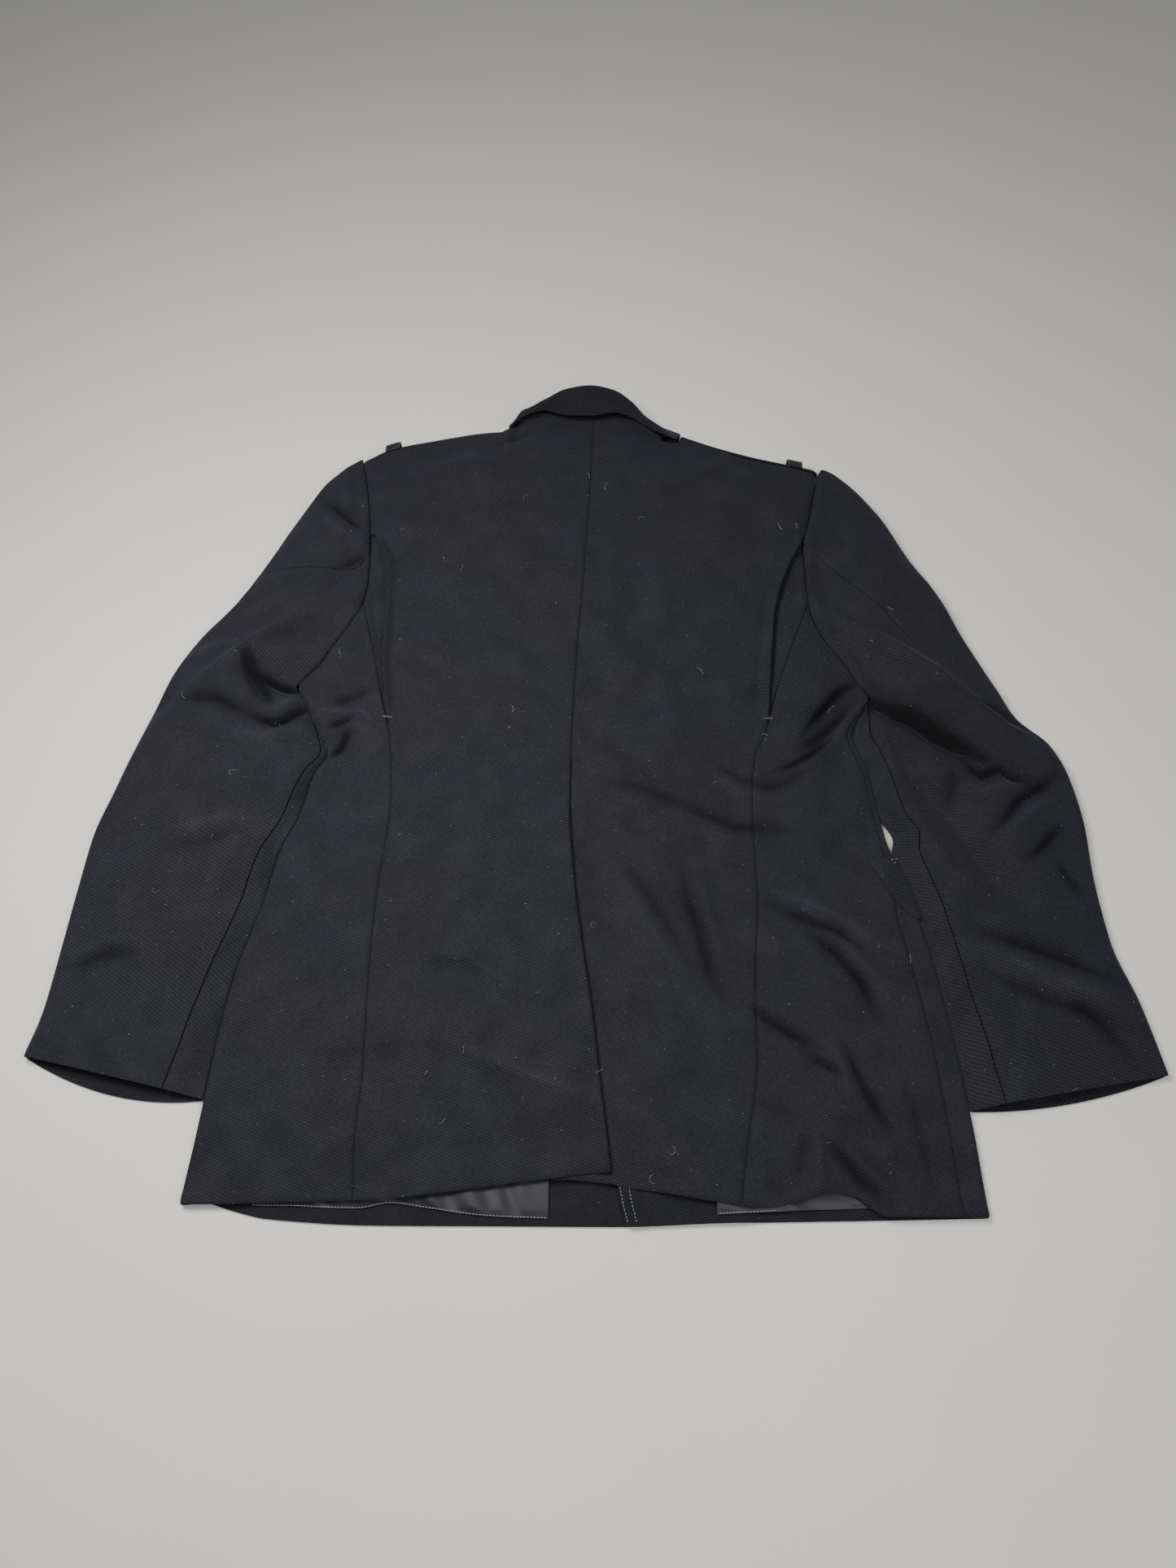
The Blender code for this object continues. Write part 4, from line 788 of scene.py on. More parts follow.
COLLAR_SECTIONS = np.array(
    (
        ((-72, 300, 1.7), (-70, 301, 1.5), (-104, 312, 1.2)),
        ((-76, 328, 1.9), (-71, 331, 1.3), (-108, 340, 1.2)),
        ((-79, 348, 2.2), (-73, 354, 1.8), (-91, 350, 1.3)),
        ((-81, 372, 9.5), (-77, 382, 9.5), (-88, 380, 13.0)),
        ((-78, 381, 21.0), (-74, 390, 24.0), (-84, 366, 28.5)),
        ((-67, 388, 22.0), (-64, 393, 27.0), (-72, 377.5, 31.0)),
        ((-52, 391, 22.5), (-48, 402, 29.0), (-51, 383, 33.5)),
        ((-28, 387, 22.5), (-27, 416, 29.0), (-27, 376.5, 34.0)),
        ((0, 387, 22.5), (-3, 421, 29.0), (0, 376, 34.0)),
        ((22, 391, 22.5), (23, 414, 29.0), (23, 379.5, 34.0)),
        ((38, 388, 22.0), (41, 399, 28.5), (41, 374, 33.5)),
        ((54, 374, 22.0), (56, 379, 27.0), (60, 360, 32.0)),
        ((68, 364, 20.0), (72, 369, 22.5), (86, 349, 27.5)),
        ((79, 367, 11.0), (79, 375, 10.5), (93, 367, 14.0)),
        ((70, 346, 2.2), (66, 352, 1.8), (88, 345, 1.3)),
        ((68, 325, 1.9), (64, 328, 1.3), (106, 338, 1.2)),
        ((68, 296, 1.7), (66, 297, 1.5), (100, 308, 1.2)),
    ),
    float,
)

COLLAR_BULGE = 3.0         # swell of the fall behind the neck
COLLAR_SEWN = {"reach": 4.8, "in": -3.4, "rise": 0.6}    # the stand's seam lies on the backs' neck edge
COLLAR_WAVE = {"height": 0.5, "rate": 2.3}
COLLAR_GRID = {"rows": 200, "columns": 26, "width": 60, "ends": (0.05, 0.95)}
COLLAR_LIFTED = 5.5        # in this many sections to each side of the middle


def ruled(level, across, hem, top, first, last):
    """Level rows, each from the first side to the last, bent to the hem below and to the top line above."""
    low = np.clip(1 - (level - HEM_LEVEL) / HEM_FADE, 0, 1)
    high = np.clip((level - SIDE_TOP) / (SHOULDER_LEVEL - SIDE_TOP), 0, 1)
    y = level + (hem(across) - HEM_LEVEL) * low + (top(across) - SHOULDER_LEVEL) * high
    return mix(first(y), last(y), across), y


def pleat_fold(side, y):
    """The rolled fold of a pleat, which runs into the armhole at its top."""
    merged = ease((y - PLEAT["top"][side] + PLEAT["merge"]) / PLEAT["merge"])
    return mix(PLEAT_FOLD[side](y), ARMHOLE[side](y), merged)


def back_outer(side, y):
    """The outer edge of a back panel: the side-back seam, the pleat's fold, then the armhole."""
    sign = SIGN[side]
    left_seam = ease((y - PLEAT["start"]) / PLEAT["leave"])
    return mix(SEAMS[side](y), pleat_fold(side, y), left_seam) - sign * GAP / 2


def back_centre(side, y):
    """The inner edge of a back panel: the centre seam, and in the right one the vent's underlap below it."""
    sign = SIGN[side]
    edge = CENTRE["seam"](y) + sign * GAP / 2
    if side == "left":
        return edge
    below = UNDERLAP["top"] - y
    width = mix(UNDERLAP["width"], UNDERLAP["hem_width"], below / UNDERLAP["length"])
    return edge - width * ease(below / UNDERLAP["open"])


def back_hem(side, share):
    """The hem of a back panel, from its outer edge (share 0) to its inner one."""
    x = mix(float(back_outer(side, np.array(HEM_LEVEL))), float(back_centre(side, HEM_ENDS["vent"])), share)
    if side == "left":
        return BACK_HEM["y"](np.minimum(x, HEM_ENDS["left"]))
    at_vent = HEM_ENDS["right"]
    return np.where(x < at_vent, UNDERLAP_HEM["y"](x), BACK_HEM["y"](np.maximum(x, at_vent)))


def back_top(side, share):
    """The upper edge of a back panel: the shoulder seam, then the neck seam."""
    half = GAP / 2 * SIGN[side]
    x = mix(float(ARMHOLE[side](SHOULDER_TIP)) - half, float(CENTRE["seam"](NECK_TOP)) + half, share)
    edge = SHOULDER["edge"](x)
    seam = edge + SHOULDER_ROLL * (QUARTER - 1) - GAP if side == "left" else edge - SHOULDER_TURN - GAP
    return mix(seam, NECK["seam"](x) - GAP, ease((NECK_REACH - np.abs(x)) / NECK_BLEND))


def underlap_drop(side, x, y):
    """How far the right back lies below the left one at the vent."""
    if side == "left":
        return np.zeros_like(x)
    inside = ease((CENTRE["seam"](y) + 2 * UNDERLAP["reach"] - x) / UNDERLAP["reach"])
    return UNDERLAP["drop"] * inside * ease((UNDERLAP["top"] + UNDERLAP["lead"] - y) / UNDERLAP["ramp"])


def side_limit(side, y):
    """Where the side body ends: on the underside at the left, on top at the right, then at the armhole."""
    under, at = UNDERARM[side], SIDE_SEAM[side]
    if side == "left":
        low = -at["under"] * ease((under - y) / at["fade"])
    else:
        low = at["top"] + at["hem"] * ease((at["from"] - y) / at["ramp"])
        low = low - at["underarm"] * ease((y - under + at["fade"]) / at["fade"])
    armhole = edge_path(side, ARMHOLE[side](np.maximum(y, under)), y)
    return np.where(y < under, low, armhole)


def overlap_rise(side, path, y, reach=OVERLAP["reach"]):
    """How far the right front is lifted where it lies over the left one, to a reach past that one's edge."""
    if side == "left":
        return 0.0
    x = body_edge(side, y) - turned(path, SIDE_ROLL[side])[0]
    near = ease((FRONT_EDGE["left"](y) + reach - x) / (reach - OVERLAP["full"]))
    return OVERLAP["rise"] * near * ease((OVERLAP["end"] - y) / OVERLAP["fade"])


def between(start, end, groups, least):
    """Columns from start down to end in every row: groups are counts of even steps and lists of set places.

    Set places give way to the start and the end, so that the columns always keep the least width.
    """
    total = sum(group if isinstance(group, int) else len(group) for group in groups) + 1
    known = {0: start, total: end}
    number = 0
    for group in groups:
        if isinstance(group, int):
            number += group
            continue
        for place in group:
            number += 1
            known[number] = np.clip(place, end + least * (total - number), start - least * number)
    found = sorted(known)
    columns = []
    for number in range(total + 1):
        after = next(k for k in found if k >= number)
        before = max(k for k in found if k <= number)
        share = 0 if after == before else (number - before) / (after - before)
        columns.append(mix(known[before], known[after], share))
    return np.stack(columns, -1)


# Cloth as thin walls between two sheets of points

CLOTH = {"wool": 1.7, "satin": 0.9, "ribbon": 1.1}      # thickness
EDGE_STEPS = (0.0, 0.7, 1.6, 3.0)                       # first columns in from a seam
EDGE = {"dip": 0.8, "width": 1.3, "swell": 0.22, "swell_at": 5.5, "swell_width": 3.5}
PUCKER = {
    "height": 0.09,
    "length": 15.0,
    "fade": 8.0,           # in from the seam
    "slow": 31.0,          # two waves that the puckers come and go by,
    "quick": 17.0,
    "share": 0.6,          # the second one lower,
    "shift": 1.3,          # and moved along
}


def run_along(points, axis):
    """Distance along a grid's rows (axis 1) or columns (axis 0)."""
    steps = np.linalg.norm(np.diff(points, axis=axis), axis=-1)
    start = np.zeros_like(np.take(steps, [0], axis=axis))
    return np.concatenate([start, np.cumsum(steps, axis=axis)], axis=axis)


def seam_relief(points, strength=1.0):
    """Depth that rounds a panel off at its edges, with the swell of the turnings and small puckers."""
    across, down = run_along(points, 1), run_along(points, 0)
    from_sides = np.minimum(across, across[:, -1:] - across)
    from_ends = np.minimum(down, down[-1:] - down)
    edge = np.minimum(from_sides, from_ends)
    along = np.where(from_sides < from_ends, down, across)
    depth = EDGE["dip"] * np.exp(-((edge / EDGE["width"]) ** 2))
    depth -= EDGE["swell"] * np.exp(-(((edge - EDGE["swell_at"]) / EDGE["swell_width"]) ** 2))
    slow = np.sin(along / PUCKER["slow"])
    slow = slow + PUCKER["share"] * np.sin(along / PUCKER["quick"] + PUCKER["shift"])
    pucker = np.sin(along / PUCKER["length"] * math.tau + 2 * slow) * np.exp(-edge / PUCKER["fade"])
    return strength * (depth + PUCKER["height"] * pucker * (0.5 + 0.5 * slow))


# Painted light: colour darkened as painted shade down in creases, along seams and on the inner side, and
# lightened as a painted highlight on the crests of folds.
PAINTED_SHADING = {
    "widest": 13.5,        # only folds up to this width get painted shade and highlight
    "tallest": 8.5,
    "flat": 0.5,
    "seam": 0.2,
    "inside": 0.3,         # painted shade all over the inner side
}


def painted_shading_relief(outer, which, depth):
    """Painted light: 0.5 on flat cloth, towards 0 for painted shade down in a crease or a seam and towards 1
    for a painted highlight on the crest of a sharp fold.
    """
    creases = fold_height(which, outer[..., 0], outer[..., 1], PAINTED_SHADING["widest"])
    return np.clip(PAINTED_SHADING["flat"] + creases / PAINTED_SHADING["tallest"] - PAINTED_SHADING["seam"] * np.maximum(depth, 0), 0, 1)


TAPER = 0.3                # share of the rounding at an edge that the inner side follows


def inner_depth(thick, relief):
    """How deep the inner side of the cloth lies where its outside is rounded off by the relief."""
    return thick - TAPER * np.maximum(relief, 0)


SHARP_ANGLE = 58           # degrees between faces, from which an edge isn't smoothed


def cloth_mesh(name, outer, inner, cut, material, painted_shading=None):
    """A closed wall between two sheets of points. cut holds each point's place in the cloth, in mm."""
    rows, columns = outer.shape[:2]
    count = rows * columns
    points = np.concatenate([outer.reshape(-1, 3), inner.reshape(-1, 3)])
    points = (points + (*PLACE, 0.0)) * MM
    points[:, 2] = np.maximum(points[:, 2], 0.0)
    index = np.arange(count).reshape(rows, columns)
    a, b, c, d = index[:-1, :-1], index[:-1, 1:], index[1:, 1:], index[1:, :-1]
    upper = np.stack([a, b, c, d], -1).reshape(-1, 4)
    lower = upper[:, ::-1] + count
    rim = np.concatenate([index[0, :-1], index[:-1, -1], index[-1, :0:-1], index[:0:-1, 0]])
    after = np.roll(rim, -1)
    sides = np.stack([after, rim, rim + count, after + count], -1)
    faces = np.concatenate([upper, lower, sides])
    a, b, c = points[upper[:, 0]], points[upper[:, 1]], points[upper[:, 3]]
    inward = (points[upper[:, 0] + count] - a) * np.cross(b - a, c - a)
    if inward.sum() > 0:
        faces = faces[:, ::-1]
    mesh = bpy.data.meshes.new(name)
    mesh.vertices.add(len(points))
    mesh.vertices.foreach_set("co", points.ravel())
    mesh.loops.add(faces.size)
    mesh.loops.foreach_set("vertex_index", faces.ravel().astype(np.int32))
    mesh.polygons.add(len(faces))
    mesh.polygons.foreach_set("loop_start", np.arange(0, faces.size, 4, dtype=np.int32))
    mesh.update(calc_edges=True)
    places = np.concatenate([cut.reshape(-1, 2)] * 2) * MM
    layer = mesh.uv_layers.new(name="cloth")
    layer.data.foreach_set("uv", places[faces.ravel()].ravel())
    # Painted shade and painted highlight for each point, which the wool's colour follows; the inner side gets
    # painted shade all over.
    painted_shading_layer = mesh.attributes.new("painted_shading", "FLOAT", "POINT")
    painted_shading = np.full((rows, columns), PAINTED_SHADING["flat"]) if painted_shading is None else painted_shading
    painted_shading_layer.data.foreach_set("value", np.concatenate([painted_shading.ravel(), np.full(count, PAINTED_SHADING["inside"])]))
    mesh.materials.append(material)
    mesh.shade_smooth()
    mesh.set_sharp_from_angle(angle=math.radians(SHARP_ANGLE))
    return mesh


def add_piece(mesh, node=None, *rests_on, slot="navy_serge"):
    """A dressed piece, in the place of a solid if one is named."""
    piece = bpy.data.objects.new(mesh.name, mesh)
    bpy.context.scene.collection.objects.link(piece)
    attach(piece, "root")
    if node:
        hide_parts(node)
    return piece


def shares(width, step):
    """Even shares of a width, with a few close together at both ends."""
    edges = np.array(EDGE_STEPS) / width
    count = max(2, int(round(width / step)))
    inner = np.linspace(edges[-1], 1 - edges[-1], count)
    return np.concatenate([edges[:-1], inner, 1 - edges[:-1][::-1]])


CREASED = (-60.0, 66.0)    # the side bodies have rows twice as close between these levels
TOP_ROWS = {"shoulder": 30.0, "armhole": 3.0, "step": 1.5, "clear": 2.0}    # closer rows below a panel's top
STEPS = {"back": 3.0, "side": 3.0, "front": 5.5}      # between the rows


def panel_levels(step, to_shoulder=True):
    """Rows of a body panel, from the hem up, set close together at the hem and at the top."""
    end = SHOULDER_LEVEL if to_shoulder else SIDE_TOP
    above = end - TOP_ROWS["shoulder" if to_shoulder else "armhole"]
    rows = np.arange(HEM_LEVEL + EDGE_STEPS[-1], above, step / 2)
    kept = np.arange(len(rows)) % 2 == 0
    first = HEM_LEVEL + np.array(EDGE_STEPS[:-1])
    last = end - np.array(EDGE_STEPS[::-1])
    if not to_shoulder:
        rows = rows[kept | ((rows > CREASED[0]) & (rows < CREASED[1]))]
        return np.concatenate([first, rows, last[1:]])
    close = above + np.arange(TOP_ROWS["step"], TOP_ROWS["shoulder"] - TOP_ROWS["clear"], TOP_ROWS["step"])
    return np.concatenate([first, rows[kept], close, last])


def body_wall(name, side, path, y, start=0.0, overlap=0.0, thick=CLOTH["wool"]):
    """The wall of a body panel. start is how far it lies in from the outside."""
    start = start + np.zeros_like(y)
    relief = seam_relief(body_point(side, path, y, start, overlap))
    outer = body_point(side, path, y, start + relief, overlap)
    inner = body_point(side, path, y, start + inner_depth(thick, relief), overlap)
    cut = np.stack([-SIGN[side] * path, y], -1)
    # Its colour gets painted shade in creases and at seams and a painted highlight on fold crests.
    return cloth_mesh(name, outer, inner, cut, wool, painted_shading_relief(outer, "body", relief))


FOLDED = {
    "pleat": {"left": 4.6, "right": 3.2},
    "pleat_width": 4.0,
    "beside": 1.6,         # the back sinks by this beyond the rolled fold
    "beside_at": 10.0,
    "beside_width": 5.0,
    "start": (4.0, 14.0),  # the roll starts this far below the pleat, within the next height
    "end": (4.0, 20.0),    # and ends this far above it
    "vent": 3.4,
    "vent_width": 14.0,
    "vent_end": (6.0, 24.0),
}
PLEAT_SHADOW = {"deeper": 2.4, "at": 2.0, "width": 4.0}     # the underlay sinks beside the rolled fold


def folded_edges(side, x, y):
    """How far doubled cloth stands up along the pleat's rolled fold and along the free edge of the vent."""
    from_fold = np.abs(x - back_outer(side, y))
    rolled = FOLDED["pleat"][side] * np.exp(-((from_fold / FOLDED["pleat_width"]) ** 2))
    rolled -= FOLDED["beside"] * np.exp(-(((from_fold - FOLDED["beside_at"]) / FOLDED["beside_width"]) ** 2))
    early, grown = FOLDED["start"]
    late, lost = FOLDED["end"]
    rolled = rolled * ease((y - PLEAT["bottom"] + early) / grown)
    rolled = rolled * ease((PLEAT["top"][side] + late - y) / lost)
    if side == "right":
        return rolled
    from_vent = np.abs(x - back_centre(side, y))
    turned_in = FOLDED["vent"] * ease(1 - from_vent / FOLDED["vent_width"])
    late, lost = FOLDED["vent_end"]
    return rolled + turned_in * ease((UNDERLAP["top"] + late - y) / lost)


BACK_COLUMNS = (215, 2.5)      # the width that the columns are set for, and their step
SIDE_COLUMNS = (125, 1.8)


def add_back(side):
    """A back panel from the side-back seam and pleat fold to the centre seam."""
    level, across = np.meshgrid(panel_levels(STEPS["back"]), shares(*BACK_COLUMNS), indexing="ij")
    x, y = ruled(
        level,
        across,
        lambda share: back_hem(side, share),
        lambda share: back_top(side, share),
        lambda up: back_outer(side, up),
        lambda up: back_centre(side, up),
    )
    below = underlap_drop(side, x, y) - folded_edges(side, x, y)
    mesh = body_wall(f"cloth_back_{side}", side, edge_path(side, x, y), y, start=below)
    return add_piece(mesh, f"back_{side}", f"front_{side}")


def add_pleat(side):
    """The pleat's underlay, from below the back's fold out to the armhole and the side-back seam."""
    sign = SIGN[side]
    rows = np.arange(PLEAT["bottom"] - PLEAT["tail"], PLEAT["top"][side] + PLEAT["head"], PLEAT["rows"])
    y, share = np.meshgrid(rows, shares(*PLEAT["columns"]), indexing="ij")
    armhole = ARMHOLE[side](np.maximum(y, SIDE_TOP))
    seam = np.where(y > SIDE_TOP + 1, armhole, SEAMS[side](y)) - sign * GAP / 2
    fold = sign * np.minimum(sign * pleat_fold(side, y), sign * seam - PLEAT["least"])
    hidden = fold - sign * PLEAT["tuck"]
    x = mix(seam, hidden, share)
    width = np.clip(np.abs(seam - fold) / PLEAT["full"], 0, 1)
    reached = np.clip((x - seam) / (fold - seam), 0, 1)
    first, second = PLEAT["halfway"]
    middle = (PLEAT["middle"] + PLEAT["sag"] * width) * ease(reached / first)
    drop = mix(middle, PLEAT["drop"] + width, ease((reached - first) / second))
    level, within = PLEAT["tucked"]
    drop = mix(drop, PLEAT["drop"], ease((share - level) / within))
    from_fold = (np.maximum(sign * (x - fold), 0) - PLEAT_SHADOW["at"]) / PLEAT_SHADOW["width"]
    drop = drop + PLEAT_SHADOW["deeper"] * np.exp(-(from_fold ** 2)) * width
    closing = np.maximum(PLEAT["low_end"] - y, y - PLEAT["top"][side] + PLEAT["high_end"])
    drop = np.maximum(drop, PLEAT["drop"] * ease(closing / PLEAT["close"]))
    mesh = body_wall(f"cloth_pleat_{side}", side, edge_path(side, x, y), y, start=drop, thick=PLEAT["thick"])
    return add_piece(mesh, f"pleat_{side}", f"back_{side}")


def add_side(side):
    """A side body, from the side-back seam round the side edge to the side seam."""
    sign = SIGN[side]
    half = GAP / 2
    levels = panel_levels(STEPS["side"], to_shoulder=False)
    level, across = np.meshgrid(levels, shares(*SIDE_COLUMNS), indexing="ij")

    def start(y):
        return side_limit(side, y) + half

    def seam(y):
        return edge_path(side, SEAMS[side](y) + sign * half, y)

    def hem(share):
        ends = (float(body_edge(side, HEM_LEVEL)), float(SEAMS[side](HEM_LEVEL)) + sign * half)
        return BACK_HEM["y"](mix(*ends, share))

    path, y = ruled(level, across, hem, lambda share: np.full_like(share, SHOULDER_LEVEL), start, seam)
    return add_piece(body_wall(f"cloth_side_{side}", side, path, y), f"side_{side}", f"front_{side}")


STRIP = {"rise": 1.4, "width": 10.0, "step": 1.6, "top": -300.0, "fade": 60.0}
FRONT_COLUMNS = {
    "seam": (40, 1.8),     # set as for this width and step at the side seam,
    "seam_share": 0.13,    # over this share of the front
    "count": 42,
    "end": 0.99,
    "width": 320,
}


def edge_strip(side, path, y):
    """The turned-in edge of the right front, thicker than its facing, where it shows inside the hem."""
    if side == "left":
        return 0.0
    x = body_edge(side, y) - turned(path, SIDE_ROLL[side])[0]
    past = (x - FRONT_EDGE[side](y) - STRIP["width"]) / STRIP["step"]
    return STRIP["rise"] * ease(1 - past) * ease((STRIP["top"] - y) / STRIP["fade"])


def add_front(side):
    """A whole front, from its side seam round the side edge and under to the front edge."""
    sign = SIGN[side]
    half = GAP / 2
    under = UNDERARM[side]

    def outer(y):
        real = np.minimum(y, 2 * SHOULDER_FOLD[side] - y)
        armhole = -edge_path(side, ARMHOLE[side](np.maximum(real, under)) - sign * ARMHOLE_GAP, y)
        return np.where(y < under, side_limit(side, y) - half, armhole)

    def inner(y):
        return -edge_path(side, FRONT_EDGE[side](y), y)

    def hem(share):
        ends = (float(body_edge(side, HEM_LEVEL)), float(FRONT_EDGE[side](FRONT_ENDS["hem"])))
        return FRONT_HEM["y"](mix(*ends, share))

    def top(share):
        armhole = float(ARMHOLE[side](FRONT_ENDS["armhole"])) - sign * half
        x = mix(armhole, float(FRONT_EDGE[side](FRONT_ENDS["neck"])), share)
        edge = SHOULDER["edge"](x) + SHOULDER_ROLL * (QUARTER - 1)
        turn = SHOULDER_TURN + SHOULDER_ROLL * (QUARTER - 1)
        return edge + (turn - GAP if side == "right" else -2 * GAP)

    near = shares(*FRONT_COLUMNS["seam"])[:-3] * FRONT_COLUMNS["seam_share"]
    far = np.linspace(near[-1], FRONT_COLUMNS["end"], FRONT_COLUMNS["count"])[1:]
    columns = np.concatenate([near, far, 1 - np.array(EDGE_STEPS[2::-1]) / FRONT_COLUMNS["width"]])
    level, across = np.meshgrid(panel_levels(STEPS["front"]), columns, indexing="ij")
    path, y = ruled(level, across, hem, top, outer, inner)
    overlap = overlap_rise(side, path, y) + edge_strip(side, path, y)
    return add_piece(body_wall(f"cloth_front_{side}", side, path, y, overlap=overlap), f"front_{side}")


SLEEVE_LENGTH = 666.0
SLEEVE_FOLDED = 0.62       # down to here the rows are close together for the creases
HIND_ROWS = {              # where the rows are closest: from, to, and their step
    "left": (0.255, 0.335, 0.0011),
    "right": (0.255, 0.335, 0.0028),
}
SLEEVE_GRID = {
    "upper": 0.0046,       # steps down the sleeve, above the hindarm seam's turn
    "folded": 0.0030,      # and below it
    "lower": 80,           # rows
    "top": (62, 16, 3),    # columns on top, below, and round the inner edge
    "under": 50,
    "cloth": 175.0,        # width that the weave is laid out for
    "narrowest": 12.0,     # the sleeve counts as at least this wide
    "least": 0.25,         # between two columns, or this share of the width where that is less
    "least_share": 0.01,
}
SLEEVE_RELIEF = {"less": 0.7, "from": 0.5, "within": 0.05}      # the free part's edges are rounded less
TURNS = {
    "top": (1, 0.75, 0.5, 0.25, 0, -0.25, -0.5, -0.75, -1),
    "inner": (1, 0.66, 0.33, 0, -0.33, -0.66, -1),
}
INNER_STOPS = (0.4, 0.7, 1)
TURN_MOST = 0.3            # most share of the sleeve's width for the columns round an edge
JOIN_LEAST = 0.012         # least share of it between the two seams


def sleeve_rows(side):
    """Places down the sleeve, close together where the hindarm seam runs across it and at both ends."""
    first, last, fine = HIND_ROWS[side]
    ends = np.array(EDGE_STEPS) / SLEEVE_LENGTH
    upper = np.arange(ends[-1], first, SLEEVE_GRID["upper"])
    middle = np.arange(first, last, fine)
    folded = np.arange(last, SLEEVE_FOLDED, SLEEVE_GRID["folded"])
    lower = np.linspace(SLEEVE_FOLDED, 1 - ends[-1], SLEEVE_GRID["lower"])
    return np.concatenate([ends[:-1], upper, middle, folded, lower, 1 - ends[:-1][::-1]])


def sleeve_wall(name, side, down, across):
    """The wall of a piece of a sleeve, over its places down and across."""
    rungs = np.broadcast_to(down[:, None], across.shape)
    flat = np.zeros(across.shape)
    less = SLEEVE_RELIEF["less"] * ease((rungs - SLEEVE_RELIEF["from"]) / SLEEVE_RELIEF["within"])
    relief = seam_relief(sleeve_point(side, rungs, across, flat)) * (1 - less)
    outer = sleeve_point(side, rungs, across, relief)
    inner = sleeve_point(side, rungs, across, inner_depth(CLOTH["wool"], relief))
    cut = np.stack([-SIGN[side] * across * SLEEVE_GRID["cloth"], -rungs * SLEEVE_LENGTH], -1)
    # Its colour gets painted shade in creases and at seams and a painted highlight on fold crests.
    return cloth_mesh(name, outer, inner, cut, wool, painted_shading_relief(outer, side, relief))


def add_sleeve(side):
    """Both pieces of a sleeve, met at the hindarm and forearm seams."""
    down = sleeve_rows(side)
    rows = SLEEVES[side]
    length = np.maximum(np.abs(rows["out_x"](down) - rows["in_x"](down)), SLEEVE_GRID["narrowest"])
    half = SLEEVE_GAP / length
    least = np.minimum(SLEEVE_GRID["least"] / length, SLEEVE_GRID["least_share"])
    joined = 1 - ease((down - JOINED["until"]) / (JOINED["free"] - JOINED["until"]))
    fore = (FORE_SEAM[side]["inset"](down) + (QUARTER - 1) * INNER_ROLL[side] * (1 - joined)) / length
    free = down >= JOINED["until"]
    hind = HIND_SEAM[side]["across"](down)
    slope = np.abs(np.gradient(hind, down)) * length / SLEEVE_LENGTH
    first = int(np.argmax(down > HIND_START - 1e-6))
    outer_turn = np.minimum(QUARTER * SLEEVE_ROLL / length, TURN_MOST)
    inner_turn = np.minimum(QUARTER * INNER_ROLL[side] / length, TURN_MOST)

    end = np.where(free, 1 - fore - half, 1 - half)
    slant = 2 * half * np.sqrt(1 + slope ** 2)
    begin = np.minimum(hind + slant, end - JOIN_LEAST)
    start = np.where(np.arange(len(down)) < first, 1 - half, begin - slant)
    lower_end = np.where(free, -1 - fore + half, -1 + half)

    def near(place, way):
        return [place + way * step / length for step in EDGE_STEPS[1:]]

    turn = [outer_turn * share for share in TURNS["top"]]
    back_turn = [-1 + inner_turn * share for share in TURNS["inner"]]
    upper, lower, round_edge = SLEEVE_GRID["top"]
    groups = (near(start, -1), upper, turn, lower, back_turn, round_edge, near(lower_end, 1)[::-1])
    across = between(start, lower_end, groups, least)
    top = add_piece(sleeve_wall(f"cloth_sleeve_{side}_top", side, down, across), f"sleeve_{side}_top")

    kept = slice(first, None)
    stops = [1 - inner_turn * share for share in INNER_STOPS]
    low_turn = [outer_turn * share for share in TURNS["top"][:4]]
    groups = (near(end, -1), stops, SLEEVE_GRID["under"], low_turn, near(begin, 1)[::-1])
    across = between(end, begin, groups, least / 3)
    mesh = sleeve_wall(f"cloth_sleeve_{side}_under", side, down[kept], across[kept])
    return top, add_piece(mesh, f"sleeve_{side}_under", f"sleeve_{side}_top")


# The collar's cloth, and the small pieces

def collar_sheet(rows, columns):
    """The collar's middle sheet and its normals, through the neck seam, the roll and the free edge."""
    count = len(COLLAR_SECTIONS)
    along = np.linspace(0, count - 1, rows + 1)
    from_middle = np.abs(along - (count - 1) / 2)
    knots = np.arange(count)
    curves = [[smooth_curve(knots, COLLAR_SECTIONS[:, k, i]) for i in range(3)] for k in range(3)]
    seam, roll, edge = (np.stack([curve(along) for curve in line], -1) for line in curves)
    above = np.clip(COLLAR_SEWN["reach"] - from_middle, 0, 1)
    seam[:, 1] = mix(seam[:, 1], NECK["seam"](seam[:, 0]) + COLLAR_SEWN["in"], above)
    seam[:, 2] += COLLAR_SEWN["rise"] * above
    bulge = np.array([0.0, 0.0, COLLAR_BULGE])
    s = columns[None, :, None]
    middle = 2 * roll - (seam + edge) / 2
    sheet = (1 - s) ** 2 * seam[:, None] + s * s * edge[:, None] + 2 * s * (1 - s) * middle[:, None]
    lift = ease(1 - from_middle / COLLAR_LIFTED)[:, None, None]
    sheet = sheet + bulge * np.sin(np.pi * s) * s * lift
    wave = COLLAR_WAVE["height"] * np.sin(along * COLLAR_WAVE["rate"])[:, None]
    sheet[..., 2] += wave * columns[None, :] * lift[..., 0]
    normal = np.cross(np.gradient(sheet, axis=0), np.gradient(sheet, axis=1))
    normal /= np.linalg.norm(normal, axis=-1, keepdims=True)
    return sheet, normal


